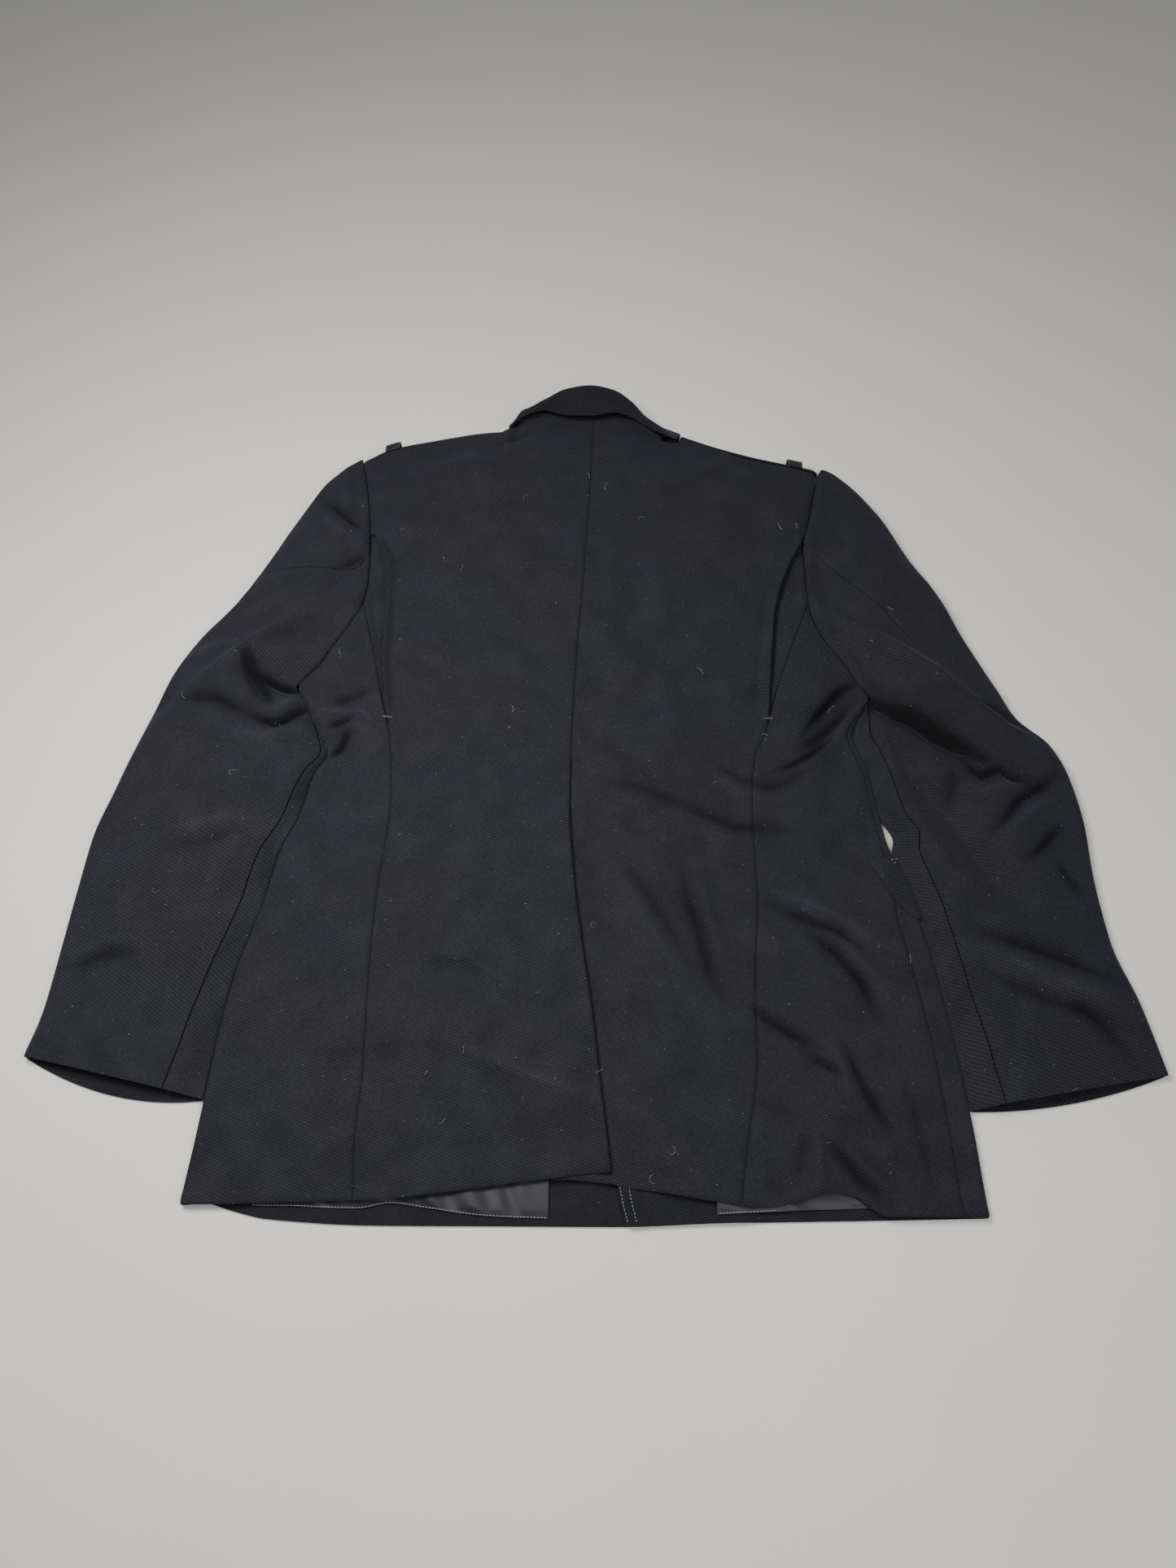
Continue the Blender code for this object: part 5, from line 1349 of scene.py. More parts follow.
def add_collar():
    """The collar, from the stand's seam over the roll to the free edge of the fall."""
    ends = np.array(EDGE_STEPS[:-1]) / COLLAR_GRID["width"]
    middle = np.linspace(*COLLAR_GRID["ends"], COLLAR_GRID["columns"])
    sheet, normal = collar_sheet(COLLAR_GRID["rows"], np.concatenate([ends, middle, 1 - ends[::-1]]))
    relief = seam_relief(sheet)[..., None]
    outer = sheet + normal * (COLLAR / 2 - relief)
    inner = sheet + normal * (COLLAR / 2 - inner_depth(COLLAR, relief))
    cut = np.stack([run_along(sheet, 0), run_along(sheet, 1)], -1)
    # Painted shade along the collar's seams.
    painted_shading = PAINTED_SHADING["flat"] - PAINTED_SHADING["seam"] * np.maximum(relief[..., 0], 0)
    mesh = cloth_mesh("cloth_collar", outer, inner, cut, wool, painted_shading)
    return add_piece(mesh, "collar", "back_left", "back_right")


PLATE = {"across": 130, "step": 3.0, "rounding": 0.8, "below": 0.6}


def add_plate(node, corners, high):
    """A flat piece of cloth under the fronts, between four corners."""
    along = shares(PLATE["across"], PLATE["step"])
    up, across = np.meshgrid(along, along, indexing="ij")
    a, b, c, d = (np.array(corner, float) for corner in corners)
    plan = mix(mix(a, b, across[..., None]), mix(d, c, across[..., None]), up[..., None])
    level = np.zeros(plan.shape[:2])
    relief = np.clip(seam_relief(np.concatenate([plan, level[..., None]], -1)), 0, PLATE["rounding"])
    outer = np.concatenate([plan, (high - relief)[..., None]], -1)
    inner = np.concatenate([plan, (PLATE["below"] * relief)[..., None]], -1)
    return add_piece(cloth_mesh("cloth_" + node, outer, inner, plan, wool), node)


def add_flap_right():
    """The right hip flap: its mitred rear end comes round the side edge onto the upper side."""
    rear_end = FLAP["rear_share"]
    ends = np.array(EDGE_STEPS) / FLAP["length"]
    rear = np.linspace(FLAP["rear_start"], rear_end, FLAP["columns"])[1:]
    front = np.linspace(rear_end, 1, FLAP["columns"])[1:]
    columns = np.concatenate([ends, rear, front])
    up, across = np.meshgrid(shares(FLAP["height"], FLAP["step"]), columns, indexing="ij")
    rear = FLAP_REAR["path"](up)
    path = mix(rear, FLAP["front"], across)
    y = mix(FLAP["top"], FLAP["bottom"], up) + FLAP["slope"] * (path - rear)
    relief = seam_relief(body_point("right", path, y, np.zeros_like(y)))
    outer = body_point("right", path, y, relief - FLAP["clear"] - SERGE)
    inner = body_point("right", path, y, np.full_like(y, -FLAP["clear"]))
    outer[..., 2] = np.maximum(outer[..., 2], 0.0)
    least = np.maximum(inner[..., 2], outer[..., 2] + FLAP["least"])
    inner[..., 2] = np.where(path < FLAP["below"], least, inner[..., 2])
    mesh = cloth_mesh("cloth_flap_right", outer, inner, np.stack([path, y], -1), wool)
    return add_piece(mesh, "flap_right", "side_right")


def add_loops():
    """The strap loops: a ribbon that starts and ends on the shoulder and stands off its edge."""
    for side, middle in LOOP["middle"].items():
        up, across = np.meshgrid(*(np.linspace(0, 1, count) for count in LOOP["grid"]), indexing="ij")
        x = middle + (across - 0.5) * LOOP["width"]
        over = mix(*LOOP["over"], up)
        height = SHOULDER["edge"](x) + SHOULDER_ROLL * (QUARTER - 1) - over
        stand = LOOP["clear"] + LOOP["reach"] * np.sin(np.pi * up) ** LOOP["roundness"]
        path = edge_path(side, x, height)
        ribs = LOOP["rib"] * np.cos(across * math.tau * LOOP["ribs"])
        outer = body_point(side, path, height, -(stand + CLOTH["ribbon"] + ribs))
        inner = body_point(side, path, height, -stand)
        mesh = cloth_mesh(f"ribbon_loop_{side}", outer, inner, np.stack([x, height], -1), ribbon)
        add_piece(mesh, f"loop_{side}", f"front_{side}", slot="loop_ribbon")


SATIN_FOLDS = ((0.62, 7.3, 0.9, 19.0), (0.42, 3.9, 1.1, 11.0))    # height, length, wander, its length
SATIN_LAY = {"slant": 0.5, "lift": 1.0, "felled": 0.8, "fade": 3.0, "soft": 0.2}
LINING_GRID = (70, 1.6, 1.8)      # the height that the rows are set for, their step and the columns' step


def satin_lift(x, y, low):
    """Slanting folds of the loose satin, flatter where it is felled to the hem."""
    across = x + SATIN_LAY["slant"] * (y - low)
    lift = SATIN_LAY["lift"]
    for height, length, wander, wander_length in SATIN_FOLDS:
        lift = lift + height * np.sin(across / length + wander * np.sin(x / wander_length))
    return lift * (1 - SATIN_LAY["felled"] * np.exp(-(((y - low) / SATIN_LAY["fade"]) ** 2)))


def add_lining(side):
    """The satin that shows over the inside of a front at the hem, in soft slanting folds."""
    start, end = LINING_SPAN[side]
    height, row, column = LINING_GRID
    up, across = np.meshgrid(shares(height, row), shares(end - start, column), indexing="ij")
    x = mix(start, end, across)
    low = FRONT_HEM["y"](x) + LINING_INSET[side]["inset"](x)
    y = mix(low, LINING_TOP, up)
    path = -edge_path(side, x, y)
    overlap = overlap_rise(side, path, y, LINING_REACH)
    depth = SERGE + GAP + satin_lift(x, y, low)
    inner = body_point(side, path, y, depth - SATIN_LAY["soft"], overlap)
    outer = body_point(side, path, y, depth + CLOTH["satin"], overlap)
    mesh = cloth_mesh(f"satin_lining_{side}", outer, inner, np.stack([x, y], -1), satin)
    return add_piece(mesh, f"lining_{side}", f"front_{side}", slot="lining_satin")


# Buttons

BUTTON_PROFILE = ((4.0, 2.85), (8.0, 2.3), (10.4, 1.6), (11.0, 1.2), (12.0, 1.3), (12.5, 0.9), (12.2, 0.3))
BUTTON = {"count": 4, "height": 3.0, "turns": 48}


def add_buttons():
    """Plain domed buttons with a raised rim, face down in the same places as their solids."""
    turns, high = BUTTON["turns"], BUTTON["height"]
    for number in range(1, BUTTON["count"] + 1):
        low_corner, high_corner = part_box(f"button_{number}")
        centre = (Vector(low_corner) + Vector(high_corner)) / 2
        points = [(0.0, 0.0, 0.0)]
        for radius, height in BUTTON_PROFILE:
            for turn in np.arange(turns) * math.tau / turns:
                points.append((radius * math.cos(turn), radius * math.sin(turn), high - height))
        points.append((0.0, 0.0, high))
        faces = [(0, 1 + (i + 1) % turns, 1 + i) for i in range(turns)]
        last = 1 + (len(BUTTON_PROFILE) - 1) * turns
        for ring in range(1, last, turns):
            for i in range(turns):
                a, b = ring + i, ring + (i + 1) % turns
                faces.append((a, b, b + turns, a + turns))
        faces += [(last + i, last + (i + 1) % turns, len(points) - 1) for i in range(turns)]
        mesh = bpy.data.meshes.new(f"button_{number}_dome")
        mesh.from_pydata([(centre.x + x * MM, centre.y + y * MM, z * MM) for x, y, z in points], [], faces)
        mesh.materials.append(button_metal)
        mesh.shade_smooth()
        add_piece(mesh, f"button_{number}", slot="button_metal")


# Stitches

THREAD = {"turns": 6, "sections": ((-1.0, 0.35), (-0.6, 0.9), (0.0, 1.0), (0.6, 0.9), (1.0, 0.35))}
STITCHES = {               # step along the line, then the length and the radius of each
    "collar_edge": (2.6, 2.0, 0.2),
    "neck": (2.3, 2.6, 0.2),
    "pleat": (2.6, 2.0, 0.18),
    "bar": (0.5, 2.4, 0.2),
    "lining": (2.6, 1.9, 0.22),
    "front": (2.7, 1.9, 0.2),
    "flap": (0.0, 2.6, 0.22),
}
SEWN = {
    "collar_in": 7.0,      # the collar's row, from its free edge
    "collar_rows": (400, 61, 110, 290),      # rows and columns to find it on, first and last row sewn
    "collar_sunk": 0.05,
    "neck": (-52, 46, 60, 2.2),              # across from, to, points and distance below the seam
    "neck_turn": 76,
    "pleat": (24, 8, 60, 2.2),               # up from, to below the top, points and distance from the fold
    "pleat_raised": 0.05,
    "bar": ((-4.5, 21.5), (4.5, 20.5)),
    "bar_up": 21.0,
    "lining": (140.0, 120, 0.7, 0.05),       # across to, points, distance above its edge and rise
    "front": (("outer", 1.8), ("inner", 8.6)),
    "front_up": (-424.0, -380.0, 40),
    "front_hem": 2.0,
    "flap": ((263.0, -116.5), (259.5, -118.5), (261.0, -121.5)),
    "flap_way": (1, 0.2, 0),
    "raised": 0.1,
}


def stitch_mesh(name, places, ways, ups, length, radius, material):
    """Short threads lying on the cloth: each runs along its way, half sunk into the surface."""
    places, ways, ups = (np.asarray(item, float) for item in (places, ways, ups))
    ways = ways / np.linalg.norm(ways, axis=-1, keepdims=True)
    sides = np.cross(ups, ways)
    sides /= np.linalg.norm(sides, axis=-1, keepdims=True)
    ups = np.cross(ways, sides)
    turns = THREAD["turns"]
    points = []
    for at, size in THREAD["sections"]:
        arch = 0.5 * radius * (1 - at * at)
        for angle in np.arange(turns) / turns * math.tau:
            side, up = math.cos(angle) * size * radius, math.sin(angle) * size * radius + arch
            points.append(places + ways * (at * length / 2) + sides * side + ups * up)
    points = np.stack(points, 1)
    each = points.shape[1]
    faces = []
    for section in range(0, each - turns, turns):
        for i in range(turns):
            a, b = section + i, section + (i + 1) % turns
            faces.append((a, b, b + turns, a + turns))
    faces += [tuple(range(turns))[::-1], tuple(range(each - turns, each))]
    made = [tuple(start + i for i in face) for start in range(0, len(points) * each, each) for face in faces]
    mesh = bpy.data.meshes.new(name)
    mesh.from_pydata(((points.reshape(-1, 3) + (*PLACE, 0.0)) * MM).tolist(), [], made)
    mesh.materials.append(material)
    mesh.shade_smooth()
    return add_piece(mesh)


def resampled(line, step):
    """Points at even steps along a line of points."""
    line = np.asarray(line, float)
    reached = np.concatenate([[0.0], np.cumsum(np.linalg.norm(np.diff(line, axis=0), axis=-1))])
    at = np.arange(step / 2, reached[-1], step)
    return np.stack([np.interp(at, reached, line[:, i]) for i in range(line.shape[1])], -1)


def on_back(side, places, raise_by):
    """Points and upward directions on the upper side of the body over places in plan."""
    x, y = places[:, 0], places[:, 1]
    path = edge_path(side, x, y)
    top = body_point(side, path, y, np.full_like(y, -raise_by))
    deep = body_point(side, path, y, np.full_like(y, 1.0 - raise_by))
    return top, top - deep


def stitch_line(kind, side, line, raise_by, turn=0.0):
    """Stitches along a line on the back, at an angle to it in degrees."""
    step, length, radius = STITCHES[kind]
    top, ups = on_back(side, resampled(line, step), raise_by)
    ways = np.gradient(top, axis=0)
    angle = math.radians(turn)
    beside = np.stack([ways[:, 1], -ways[:, 0], 0 * ways[:, 2]], -1)
    ways = ways * math.cos(angle) + beside * math.sin(angle)
    return stitch_mesh(f"stitches_{kind}_{side}", top, ways, ups, length, radius, thread_grey)


def stitch_hem(name, kind, line):
    """Pale stitches along a line of points on the inside of a front."""
    step, length, radius = STITCHES[kind]
    places = resampled(line, step)
    ups = np.tile((0.0, 0.0, 1.0), (len(places), 1))
    ways = np.gradient(places, axis=0)
    return stitch_mesh(f"stitches_{name}", places, ways, ups, length, radius, thread_light)


def stitch_collar():
    """A row along the free edge of the collar's fall."""
    rows, columns, first, last = SEWN["collar_rows"]
    sheet, normal = collar_sheet(rows, np.linspace(0, 1, columns))
    across = run_along(sheet, 1)
    column = np.argmin(np.abs(across[:, -1:] - across - SEWN["collar_in"]), axis=1)
    rows = np.arange(first, last)
    ups = normal[rows, column[rows]]
    line = sheet[rows, column[rows]] + ups * (COLLAR / 2 - SEWN["collar_sunk"])
    step, length, radius = STITCHES["collar_edge"]
    kept = resampled(np.concatenate([line, ups], -1), step)
    places, ups = kept[:, :3], kept[:, 3:]
    stitch_mesh("stitches_collar_edge", places, np.gradient(places, axis=0), ups, length, radius, thread_grey)


def add_stitching():
    """The lines of stitches that show: collar, neck seam, pleat folds, bars, lining, front edge and flap."""
    stitch_collar()
    start, end, count, below = SEWN["neck"]
    xs = np.linspace(start, end, count)
    neck = np.stack([xs, NECK["seam"](xs) - below], -1)
    stitch_line("neck", "left", neck[xs < 2], 0.0, SEWN["neck_turn"])
    stitch_line("neck", "right", neck[xs >= 1], 0.0, SEWN["neck_turn"])
    for side in ("left", "right"):
        sign = SIGN[side]
        start, end, count, beside = SEWN["pleat"]
        ys = np.linspace(start, PLEAT["top"][side] - end, count)
        fold = np.stack([back_outer(side, ys) - sign * beside, ys], -1)
        stitch_line("pleat", side, fold, SEWN["pleat_raised"])
        middle = (float(back_outer(side, np.array(SEWN["bar_up"]))), 0.0)
        stitch_line("bar", side, np.array(SEWN["bar"]) + middle, SEWN["raised"], 90)
    reach, count, above, rise = SEWN["lining"]
    for side in ("left", "right"):
        start, end = LINING_SPAN[side]
        xs = np.linspace(start + 1, min(end, reach) - 1, count)
        low = FRONT_HEM["y"](xs) + LINING_INSET[side]["inset"](xs)
        ys = low + above
        path = -edge_path(side, xs, ys)
        depth = SERGE + GAP + satin_lift(xs, ys, low) + CLOTH["satin"] + rise
        line = body_point(side, path, ys, depth, overlap_rise(side, path, ys, LINING_REACH))
        stitch_hem(f"lining_{side}", "lining", line)
    for name, inset in SEWN["front"]:
        ys = np.linspace(*SEWN["front_up"])
        xs = FRONT_EDGE["right"](ys) + inset
        path = -edge_path("right", xs, ys)
        raised = overlap_rise("right", path, ys) + edge_strip("right", path, ys)
        line = body_point("right", path, ys, np.full_like(ys, SERGE - SEWN["raised"]), raised)
        stitch_hem(f"front_{name}", "front", line[ys > FRONT_HEM["y"](xs) + SEWN["front_hem"]])
    xs, ys = np.array(SEWN["flap"]).T
    depth = np.full(len(xs), -FLAP["clear"] - SERGE - SEWN["raised"])
    places = body_point("right", edge_path("right", xs, ys), ys, depth)
    length, radius = STITCHES["flap"][1:]
    ways, ups = np.tile(SEWN["flap_way"], (len(xs), 1)), np.tile((0, 0, 1), (len(xs), 1))
    stitch_mesh("stitches_flap", places, ways, ups, length, radius, thread_light)


# Lint: short fibres and specks caught on the nap of the back

LINT = {
    "fibres": 36,
    "specks": 34,
    "seed": 11,
    "near": 0.003,         # of a strewn place to the cloth, in metres
    "level": 0.8,          # only on cloth that faces up by this much,
    "lowest": 0.008,       # and above this height
    "speck": (1.1, 0.3),   # length and radius
    "raised": 0.12,
    "length": (4, 11),
    "curl": 0.35,
    "steps": 9,
    "bow": (0.35, 0.5),    # height at a fibre's ends, and how much more at its middle
    "thick": 0.11,
    "corners": 3,
}


def upper_points(piece):
    """Points and normals of a piece's cloth that faces up."""
    mesh = piece.data
    read = []
    for kind in ("co", "normal"):
        values = np.empty(len(mesh.vertices) * 3)
        mesh.vertices.foreach_get(kind, values)
        read.append(values.reshape(-1, 3))
    points, normals = read
    up = (normals[:, 2] > LINT["level"]) & (points[:, 2] > LINT["lowest"])
    return np.concatenate([points[up], normals[up]], -1)


def add_lint(cloths):
    """Specks and curled fibres strewn over the cloth that faces up."""
    rng = np.random.default_rng(LINT["seed"])
    tops = np.concatenate([upper_points(piece) for piece in cloths])
    low, high = tops[:, :2].min(0), tops[:, :2].max(0)

    def scattered(wanted):
        """Points of the cloth next to places strewn evenly over it."""
        found = []
        while len(found) < wanted:
            away = tops[:, :2] - (low + rng.random(2) * (high - low))
            away = (away ** 2).sum(-1)
            nearest = int(np.argmin(away))
            if away[nearest] < LINT["near"] ** 2:
                found.append(tops[nearest])
        return np.array(found)

    places = scattered(LINT["specks"])
    angles = rng.random(LINT["specks"]) * math.tau
    ways = np.stack([np.cos(angles), np.sin(angles), np.zeros_like(angles)], -1)
    shift = np.array([*PLACE, 0.0])
    at = places[:, :3] / MM - shift + places[:, 3:] * LINT["raised"]
    stitch_mesh("lint_specks", at, ways, places[:, 3:], *LINT["speck"], lint_white)
    points, faces = [], []
    last, corners = LINT["steps"] - 1, LINT["corners"]
    angles = np.arange(corners) * math.tau / corners
    ring = [(math.cos(angle), math.sin(angle), math.sin(angle + 1)) for angle in angles]
    for start in scattered(LINT["fibres"]):
        at, normal = start[:3] / MM - shift, start[3:]
        heading = rng.random() * math.tau
        curl = rng.normal(0, LINT["curl"])
        length = rng.uniform(*LINT["length"])
        base = len(points)
        for k in range(LINT["steps"]):
            height = LINT["bow"][0] + LINT["bow"][1] * math.sin(math.pi * k / last)
            points += [at + normal * height + LINT["thick"] * np.array(corner) for corner in ring]
            way = np.array([math.cos(heading), math.sin(heading), 0.0])
            way -= normal * way.dot(normal)
            at = at + way * length / last
            heading += curl
            for i in range(corners if k else 0):
                a, b = base + (k - 1) * corners + i, base + (k - 1) * corners + (i + 1) % corners
                faces.append((a, b, b + corners, a + corners))
        faces.append((base, base + 1, base + 2))
        faces.append((len(points) - 1, len(points) - 2, len(points) - 3))
    mesh = bpy.data.meshes.new("lint_fibres")
    mesh.from_pydata(((np.array(points) + shift) * MM).tolist(), [], faces)
    mesh.materials.append(lint_white)
    add_piece(mesh)


# Materials

def add_node(tree, kind, inputs=None, **settings):
    """A node with its settings and its input values, or links from sockets."""
    node = tree.nodes.new(kind)
    for key, value in settings.items():
        setattr(node, key, value)
    for key, value in (inputs or {}).items():
        if isinstance(value, bpy.types.NodeSocket):
            tree.links.new(value, node.inputs[key])
        else:
            node.inputs[key].default_value = value
    return node


def ranged(tree, value, start, end, made_start, made_end):
    """A value moved from one range to another, and kept inside it."""
    inputs = {"Value": value, "From Min": start, "From Max": end, "To Min": made_start, "To Max": made_end}
    return add_node(tree, "ShaderNodeMapRange", inputs).outputs["Result"]


def blended(tree, factor, a, b, kind="RGBA"):
    """Two colours, or two values of kind FLOAT, mixed by a factor."""
    inputs = {"Factor": factor, "A": a, "B": b}
    return add_node(tree, "ShaderNodeMix", inputs, data_type=kind).outputs["Result"]


def worked_out(tree, operation, *values):
    """A sum, product or other result of values."""
    return add_node(tree, "ShaderNodeMath", dict(enumerate(values)), operation=operation).outputs["Value"]


def new_group(name, inputs, output_names):
    """An empty shader group: a place and named values go in, and named values come out."""
    tree = bpy.data.node_groups.new(name, "ShaderNodeTree")
    tree.interface.new_socket("Place", in_out="INPUT", socket_type="NodeSocketVector")
    for label, value in inputs.items():
        tree.interface.new_socket(label, in_out="INPUT", socket_type="NodeSocketFloat").default_value = value
    for label in output_names:
        tree.interface.new_socket(label, in_out="OUTPUT", socket_type="NodeSocketFloat")
    return tree, tree.nodes.new("NodeGroupInput").outputs, tree.nodes.new("NodeGroupOutput").inputs


def make_twill():
    """Diagonal ribs of a twill with the fuzz of its nap."""
    inputs = {"Rib": 185.0, "Turn": 1.05, "Fuzz": 0.35}
    tree, given, made = new_group("twill_weave", inputs, ("Height", "Shade"))
    along = add_node(tree, "ShaderNodeVectorRotate", {"Vector": given["Place"], "Angle": given["Turn"]})
    ribs = add_node(
        tree,
        "ShaderNodeTexWave",
        {"Vector": along.outputs["Vector"], "Scale": given["Rib"], "Distortion": 0.9, "Detail": 2.0},
        bands_direction="X",
    )
    fuzz = {"Vector": given["Place"], "Scale": 330.0, "Detail": 5.0, "Roughness": 0.9}
    nap = add_node(tree, "ShaderNodeTexNoise", fuzz)
    height = blended(tree, given["Fuzz"], ribs.outputs["Fac"], nap.outputs["Fac"], "FLOAT")
    tree.links.new(height, made["Height"])
    tree.links.new(ranged(tree, height, 0.25, 0.75, 0.3, 1.7), made["Shade"])
    return tree


def make_mottle():
    """Slow changes of shade over a cloth, from handling and pressing."""
    tree, given, made = new_group("cloth_mottle", {"Size": 14.0, "Amount": 0.25}, ("Shade",))
    slow = {"Vector": given["Place"], "Scale": given["Size"], "Detail": 5.0}
    slow = add_node(tree, "ShaderNodeTexNoise", slow)
    centred = worked_out(tree, "SUBTRACT", slow.outputs["Fac"], 0.5)
    tree.links.new(worked_out(tree, "MULTIPLY_ADD", centred, given["Amount"], 1.0), made["Shade"])
    return tree


def make_dust():
    """Fine pale dust caught in the nap, as scattered dots."""
    tree, given, made = new_group("dust_specks", {"Scale": 130.0, "Share": 0.055}, ("Mask",))
    dots = {"Vector": given["Place"], "Scale": given["Scale"], "Randomness": 1.0}
    dots = add_node(tree, "ShaderNodeTexVoronoi", dots, voronoi_dimensions="2D")
    tree.links.new(worked_out(tree, "LESS_THAN", dots.outputs["Distance"], given["Share"]), made["Mask"])
    return tree


def new_material(name, colour, roughness, **constants):
    """A material with its colour, its roughness and the other constants of its shader."""
    material = bpy.data.materials.new(name)
    material.use_nodes = True
    tree = material.node_tree
    shader = tree.nodes["Principled BSDF"].inputs
    shader["Base Color"].default_value = (*colour, 1)
    shader["Roughness"].default_value = roughness
    for key, value in constants.items():
        shader[key.replace("_", " ").title().replace("Ior", "IOR")].default_value = value
    return material, tree, shader


def group_node(tree, group, **inputs):
    """A shared effect placed in a material with its own values."""
    node = add_node(tree, "ShaderNodeGroup", node_tree=group)
    for key, value in inputs.items():
        if isinstance(value, bpy.types.NodeSocket):
            tree.links.new(value, node.inputs[key])
        else:
            node.inputs[key].default_value = value
    return node.outputs


def shaded(tree, colour, first, *factors):
    """A colour times factors that change over the surface."""
    for factor in factors:
        first = worked_out(tree, "MULTIPLY", first, factor)
    scaled = add_node(tree, "ShaderNodeVectorMath", {0: colour, "Scale": first}, operation="SCALE")
    return scaled.outputs["Vector"]


def cloth_place(tree):
    """Places in the flat cloth."""
    return add_node(tree, "ShaderNodeUVMap", uv_map="cloth").outputs["UV"]


def own_place(tree):
    """Places in a piece that has no cloth of its own."""
    return add_node(tree, "ShaderNodeTexCoord").outputs["Object"]


def add_bump(tree, shader, height, strength, distance):
    """The fine relief of a weave or a twist."""
    relief = add_node(tree, "ShaderNodeBump", {"Strength": strength, "Distance": distance, "Height": height})
    tree.links.new(relief.outputs["Normal"], shader["Normal"])


def woven(tree, shader, place, colour, weave, tone, relief):
    """The colour and the relief of a woven or twisted surface, each from its own values."""
    threads = group_node(tree, twill, Place=place, **weave)
    slow = group_node(tree, mottle, Place=place, **tone)
    tree.links.new(shaded(tree, colour, threads["Shade"], slow["Shade"]), shader["Base Color"])
    add_bump(tree, shader, threads["Height"], *relief)


WOOL = {
    "plain": (0.0165, 0.0172, 0.0215),
    "tints": ((0.0128, 0.0120, 0.0158, 1.0), (0.0114, 0.0130, 0.0170, 1.0)),
    "sheen": (0.62, 0.70, 1.0, 1.0),
    "hollow": 0.22,        # painted shade: the colour's share down in a crease,
    "painted_crest_highlight": 1.45,         # and painted highlight: the colour's gain on the crest of a fold
    "dust": (0.13, 0.14, 0.16, 1.0),
    "roughness": (0.95, 0.78),
    "bump": (0.5, 0.0004),
}


def make_wool():
    """Navy serge: a twill with uneven dye and dust in its nap, with painted shade in its creases and at seams
    and a painted highlight on the crests of folds.
    """
    sheen = {"sheen_weight": 0.05, "sheen_roughness": 0.5}
    material, tree, shader = new_material(
        "navy_serge_wool", WOOL["plain"], WOOL["roughness"][0], specular_ior_level=0.14, **sheen
    )
    shader["Sheen Tint"].default_value = WOOL["sheen"]
    place = cloth_place(tree)
    weave = group_node(tree, twill, Place=place, Rib=140.0, Turn=-1.2, Fuzz=0.8)
    tone = group_node(tree, mottle, Place=place, Size=34.0, Amount=0.6)["Shade"]
    blotch = group_node(tree, mottle, Place=place, Size=6.0, Amount=0.6)["Shade"]
    specks = group_node(tree, dust, Place=place, Scale=30.0, Share=0.008)["Mask"]
    tint = blended(tree, ranged(tree, blotch, 0.8, 1.2, 0.0, 1.0), *WOOL["tints"])
    # Painted light: darker colour in creases and at seams as painted shade, lighter colour on fold crests as
    # a painted highlight.
    painted_shading = add_node(tree, "ShaderNodeAttribute", attribute_name="painted_shading").outputs["Fac"]
    hollow = ranged(tree, painted_shading, 0.0, PAINTED_SHADING["flat"], WOOL["hollow"], 1.0)
    painted_crest_highlight = ranged(tree, painted_shading, PAINTED_SHADING["flat"], 1.0, 1.0, WOOL["painted_crest_highlight"])
    cloth = shaded(tree, tint, weave["Shade"], tone, hollow, painted_crest_highlight)
    tree.links.new(blended(tree, specks, cloth, WOOL["dust"]), shader["Base Color"])
    tree.links.new(ranged(tree, tone, 0.8, 1.2, *WOOL["roughness"]), shader["Roughness"])
    add_bump(tree, shader, weave["Height"], *WOOL["bump"])
    return material


def make_satin():
    """Lining satin, finely ribbed and smooth."""
    material, tree, shader = new_material(
        "lining_satin_cloth", (0.009, 0.010, 0.014), 0.4, specular_ior_level=0.24, anisotropic=0.3
    )
    weave, tone = {"Rib": 420.0, "Turn": 0.8, "Fuzz": 0.2}, {"Size": 22.0, "Amount": 0.5}
    woven(tree, shader, cloth_place(tree), (0.010, 0.011, 0.015), weave, tone, (0.15, 0.0002))
    return material


def make_ribbon():
    """The shiny ribbon of the strap loops."""
    colour = (0.010, 0.010, 0.013)
    material, tree, shader = new_material(
        "loop_ribbon_cloth", colour, 0.34, specular_ior_level=0.6, coat_weight=0.25, coat_roughness=0.3
    )
    weave, tone = {"Rib": 260.0, "Turn": 0.0, "Fuzz": 0.15}, {"Size": 60.0, "Amount": 0.6}
    woven(tree, shader, cloth_place(tree), colour, weave, tone, (0.4, 0.0003))
    return material


def make_thread(name, colour):
    """Twisted thread, its strands as fine bands."""
    material, tree, shader = new_material(name, colour, 0.7, sheen_weight=0.2)
    weave, tone = {"Rib": 900.0, "Turn": 0.6, "Fuzz": 0.3}, {"Size": 150.0, "Amount": 0.6}
    woven(tree, shader, own_place(tree), colour, weave, tone, (0.3, 0.0001))
    return material


def make_button_metal():
    """Bright metal, dulled in places by handling."""
    colour = (0.62, 0.63, 0.65)
    material, tree, shader = new_material("button_metal_bright", colour, 0.28, metallic=1.0)
    tone = group_node(tree, mottle, Place=own_place(tree), Size=180.0, Amount=0.5)["Shade"]
    tree.links.new(shaded(tree, colour, tone), shader["Base Color"])
    tree.links.new(ranged(tree, tone, 0.7, 1.3, 0.2, 0.45), shader["Roughness"])
    return material


def make_floor_material():
    """A plain pale floor."""
    colour = (0.6, 0.585, 0.56)
    material, tree, shader = new_material("pale_floor", colour, 0.9)
    tone = group_node(tree, mottle, Place=own_place(tree), Size=9.0, Amount=0.06)["Shade"]
    tree.links.new(shaded(tree, colour, tone), shader["Base Color"])
    return material


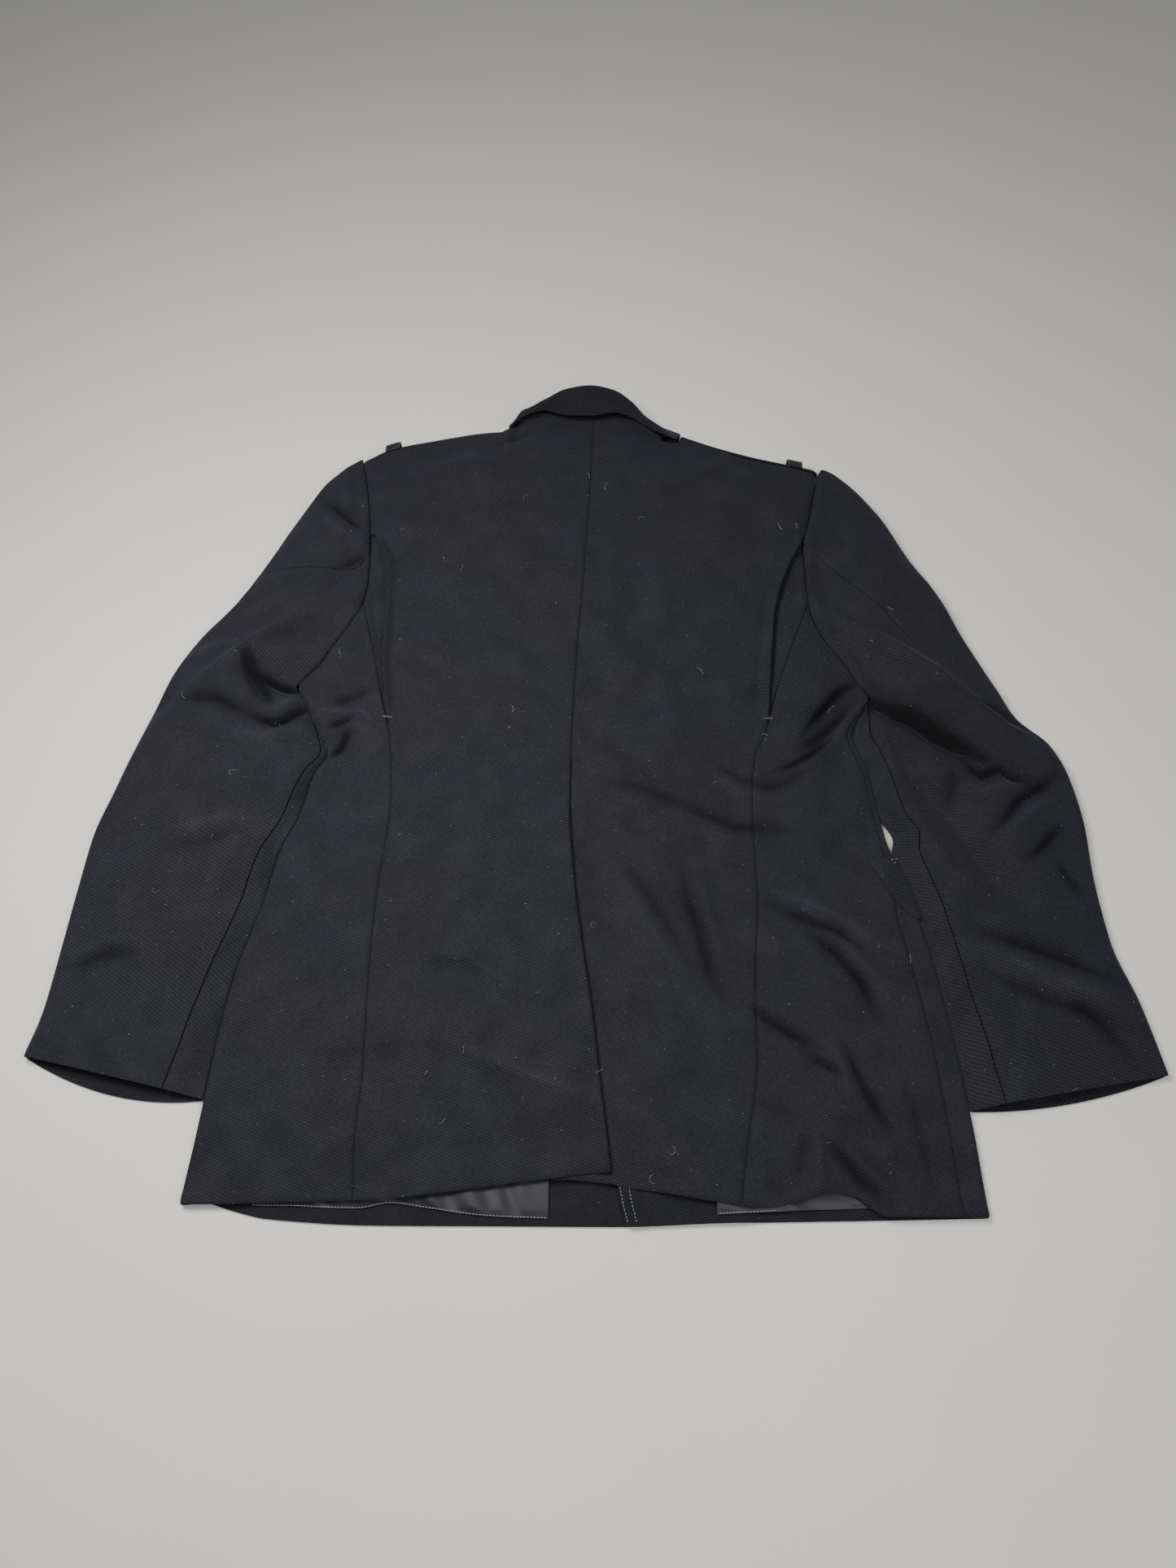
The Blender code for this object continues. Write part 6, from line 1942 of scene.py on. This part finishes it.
twill, mottle, dust = make_twill(), make_mottle(), make_dust()
wool, satin, ribbon = make_wool(), make_satin(), make_ribbon()
thread_grey = make_thread("thread_navy", (0.055, 0.06, 0.075))
thread_light = make_thread("thread_light", (0.26, 0.27, 0.28))
lint_white = make_thread("lint_pale", (0.2, 0.2, 0.21))
button_metal = make_button_metal()

# The garment

shown = []
for hand in ("left", "right"):
    shown.append(add_back(hand))
    add_pleat(hand)
    shown.append(add_side(hand))
    add_front(hand)
    shown += add_sleeve(hand)
add_collar()
add_plate("lapel_left", LAPELS["left"], LIFT["lapels"] - GAP)
add_plate("lapel_right", LAPELS["right"], LIFT["lapels"] - GAP)
add_plate("flap_left", FLAP_LEFT, LIFT["flaps"] - GAP)
add_flap_right()
add_loops()
add_lining("left")
add_lining("right")
add_buttons()
add_stitching()
add_lint(shown)

# Floor, light and camera

FLOOR = {"size": 8.0, "height": -0.0006}
SKY = {"colour": (0.92, 0.95, 1.0, 1.0), "strength": 0.22}

bpy.ops.mesh.primitive_plane_add(size=FLOOR["size"], location=(0, 0, FLOOR["height"]))
floor = bpy.context.active_object
floor.name = "floor"
floor.data.materials.append(make_floor_material())

world = bpy.data.worlds.new("soft_room")
world.use_nodes = True
sky = world.node_tree.nodes["Background"].inputs
sky["Color"].default_value = SKY["colour"]
sky["Strength"].default_value = SKY["strength"]
bpy.context.scene.world = world

LIGHTS = {                 # place, what it points at, size, power and colour
    "window": ((-0.38, 0.0, 0.9), (-0.02, -0.15, 0), 0.4, 14.5, (1.0, 0.98, 0.94)),
    "room": ((0.5, -0.75, 1.3), (0.1, -0.25, 0), 0.9, 14.0, (1.0, 0.975, 0.94)),
}

for name, (place, target, size, power, colour) in LIGHTS.items():
    light = bpy.data.lights.new(name, "AREA")
    light.size, light.energy, light.color = size, power, colour
    lamp = bpy.data.objects.new(name, light)
    lamp.location = place
    lamp.rotation_euler = (Vector(target) - Vector(place)).to_track_quat("-Z", "Y").to_euler()
    bpy.context.scene.collection.objects.link(lamp)

CAMERA = {
    "focal": 1400.0,       # in the photograph's pixels
    "long_side": 1927.0,
    "sensor": 36.0,
    "height": 0.926,
    "pitch": 63.3,         # degrees below level
    "place": (-0.0048, -0.507),
}
camera_data = bpy.data.cameras.new("camera")
camera_data.sensor_width = CAMERA["sensor"]
camera_data.sensor_fit = "AUTO"
camera_data.lens = CAMERA["focal"] / CAMERA["long_side"] * CAMERA["sensor"]
camera = bpy.data.objects.new("camera", camera_data)
camera.location = (*CAMERA["place"], CAMERA["height"])
camera.rotation_euler = (math.radians(90.0 - CAMERA["pitch"]), 0.0, 0.0)
bpy.context.scene.collection.objects.link(camera)
bpy.context.scene.camera = camera
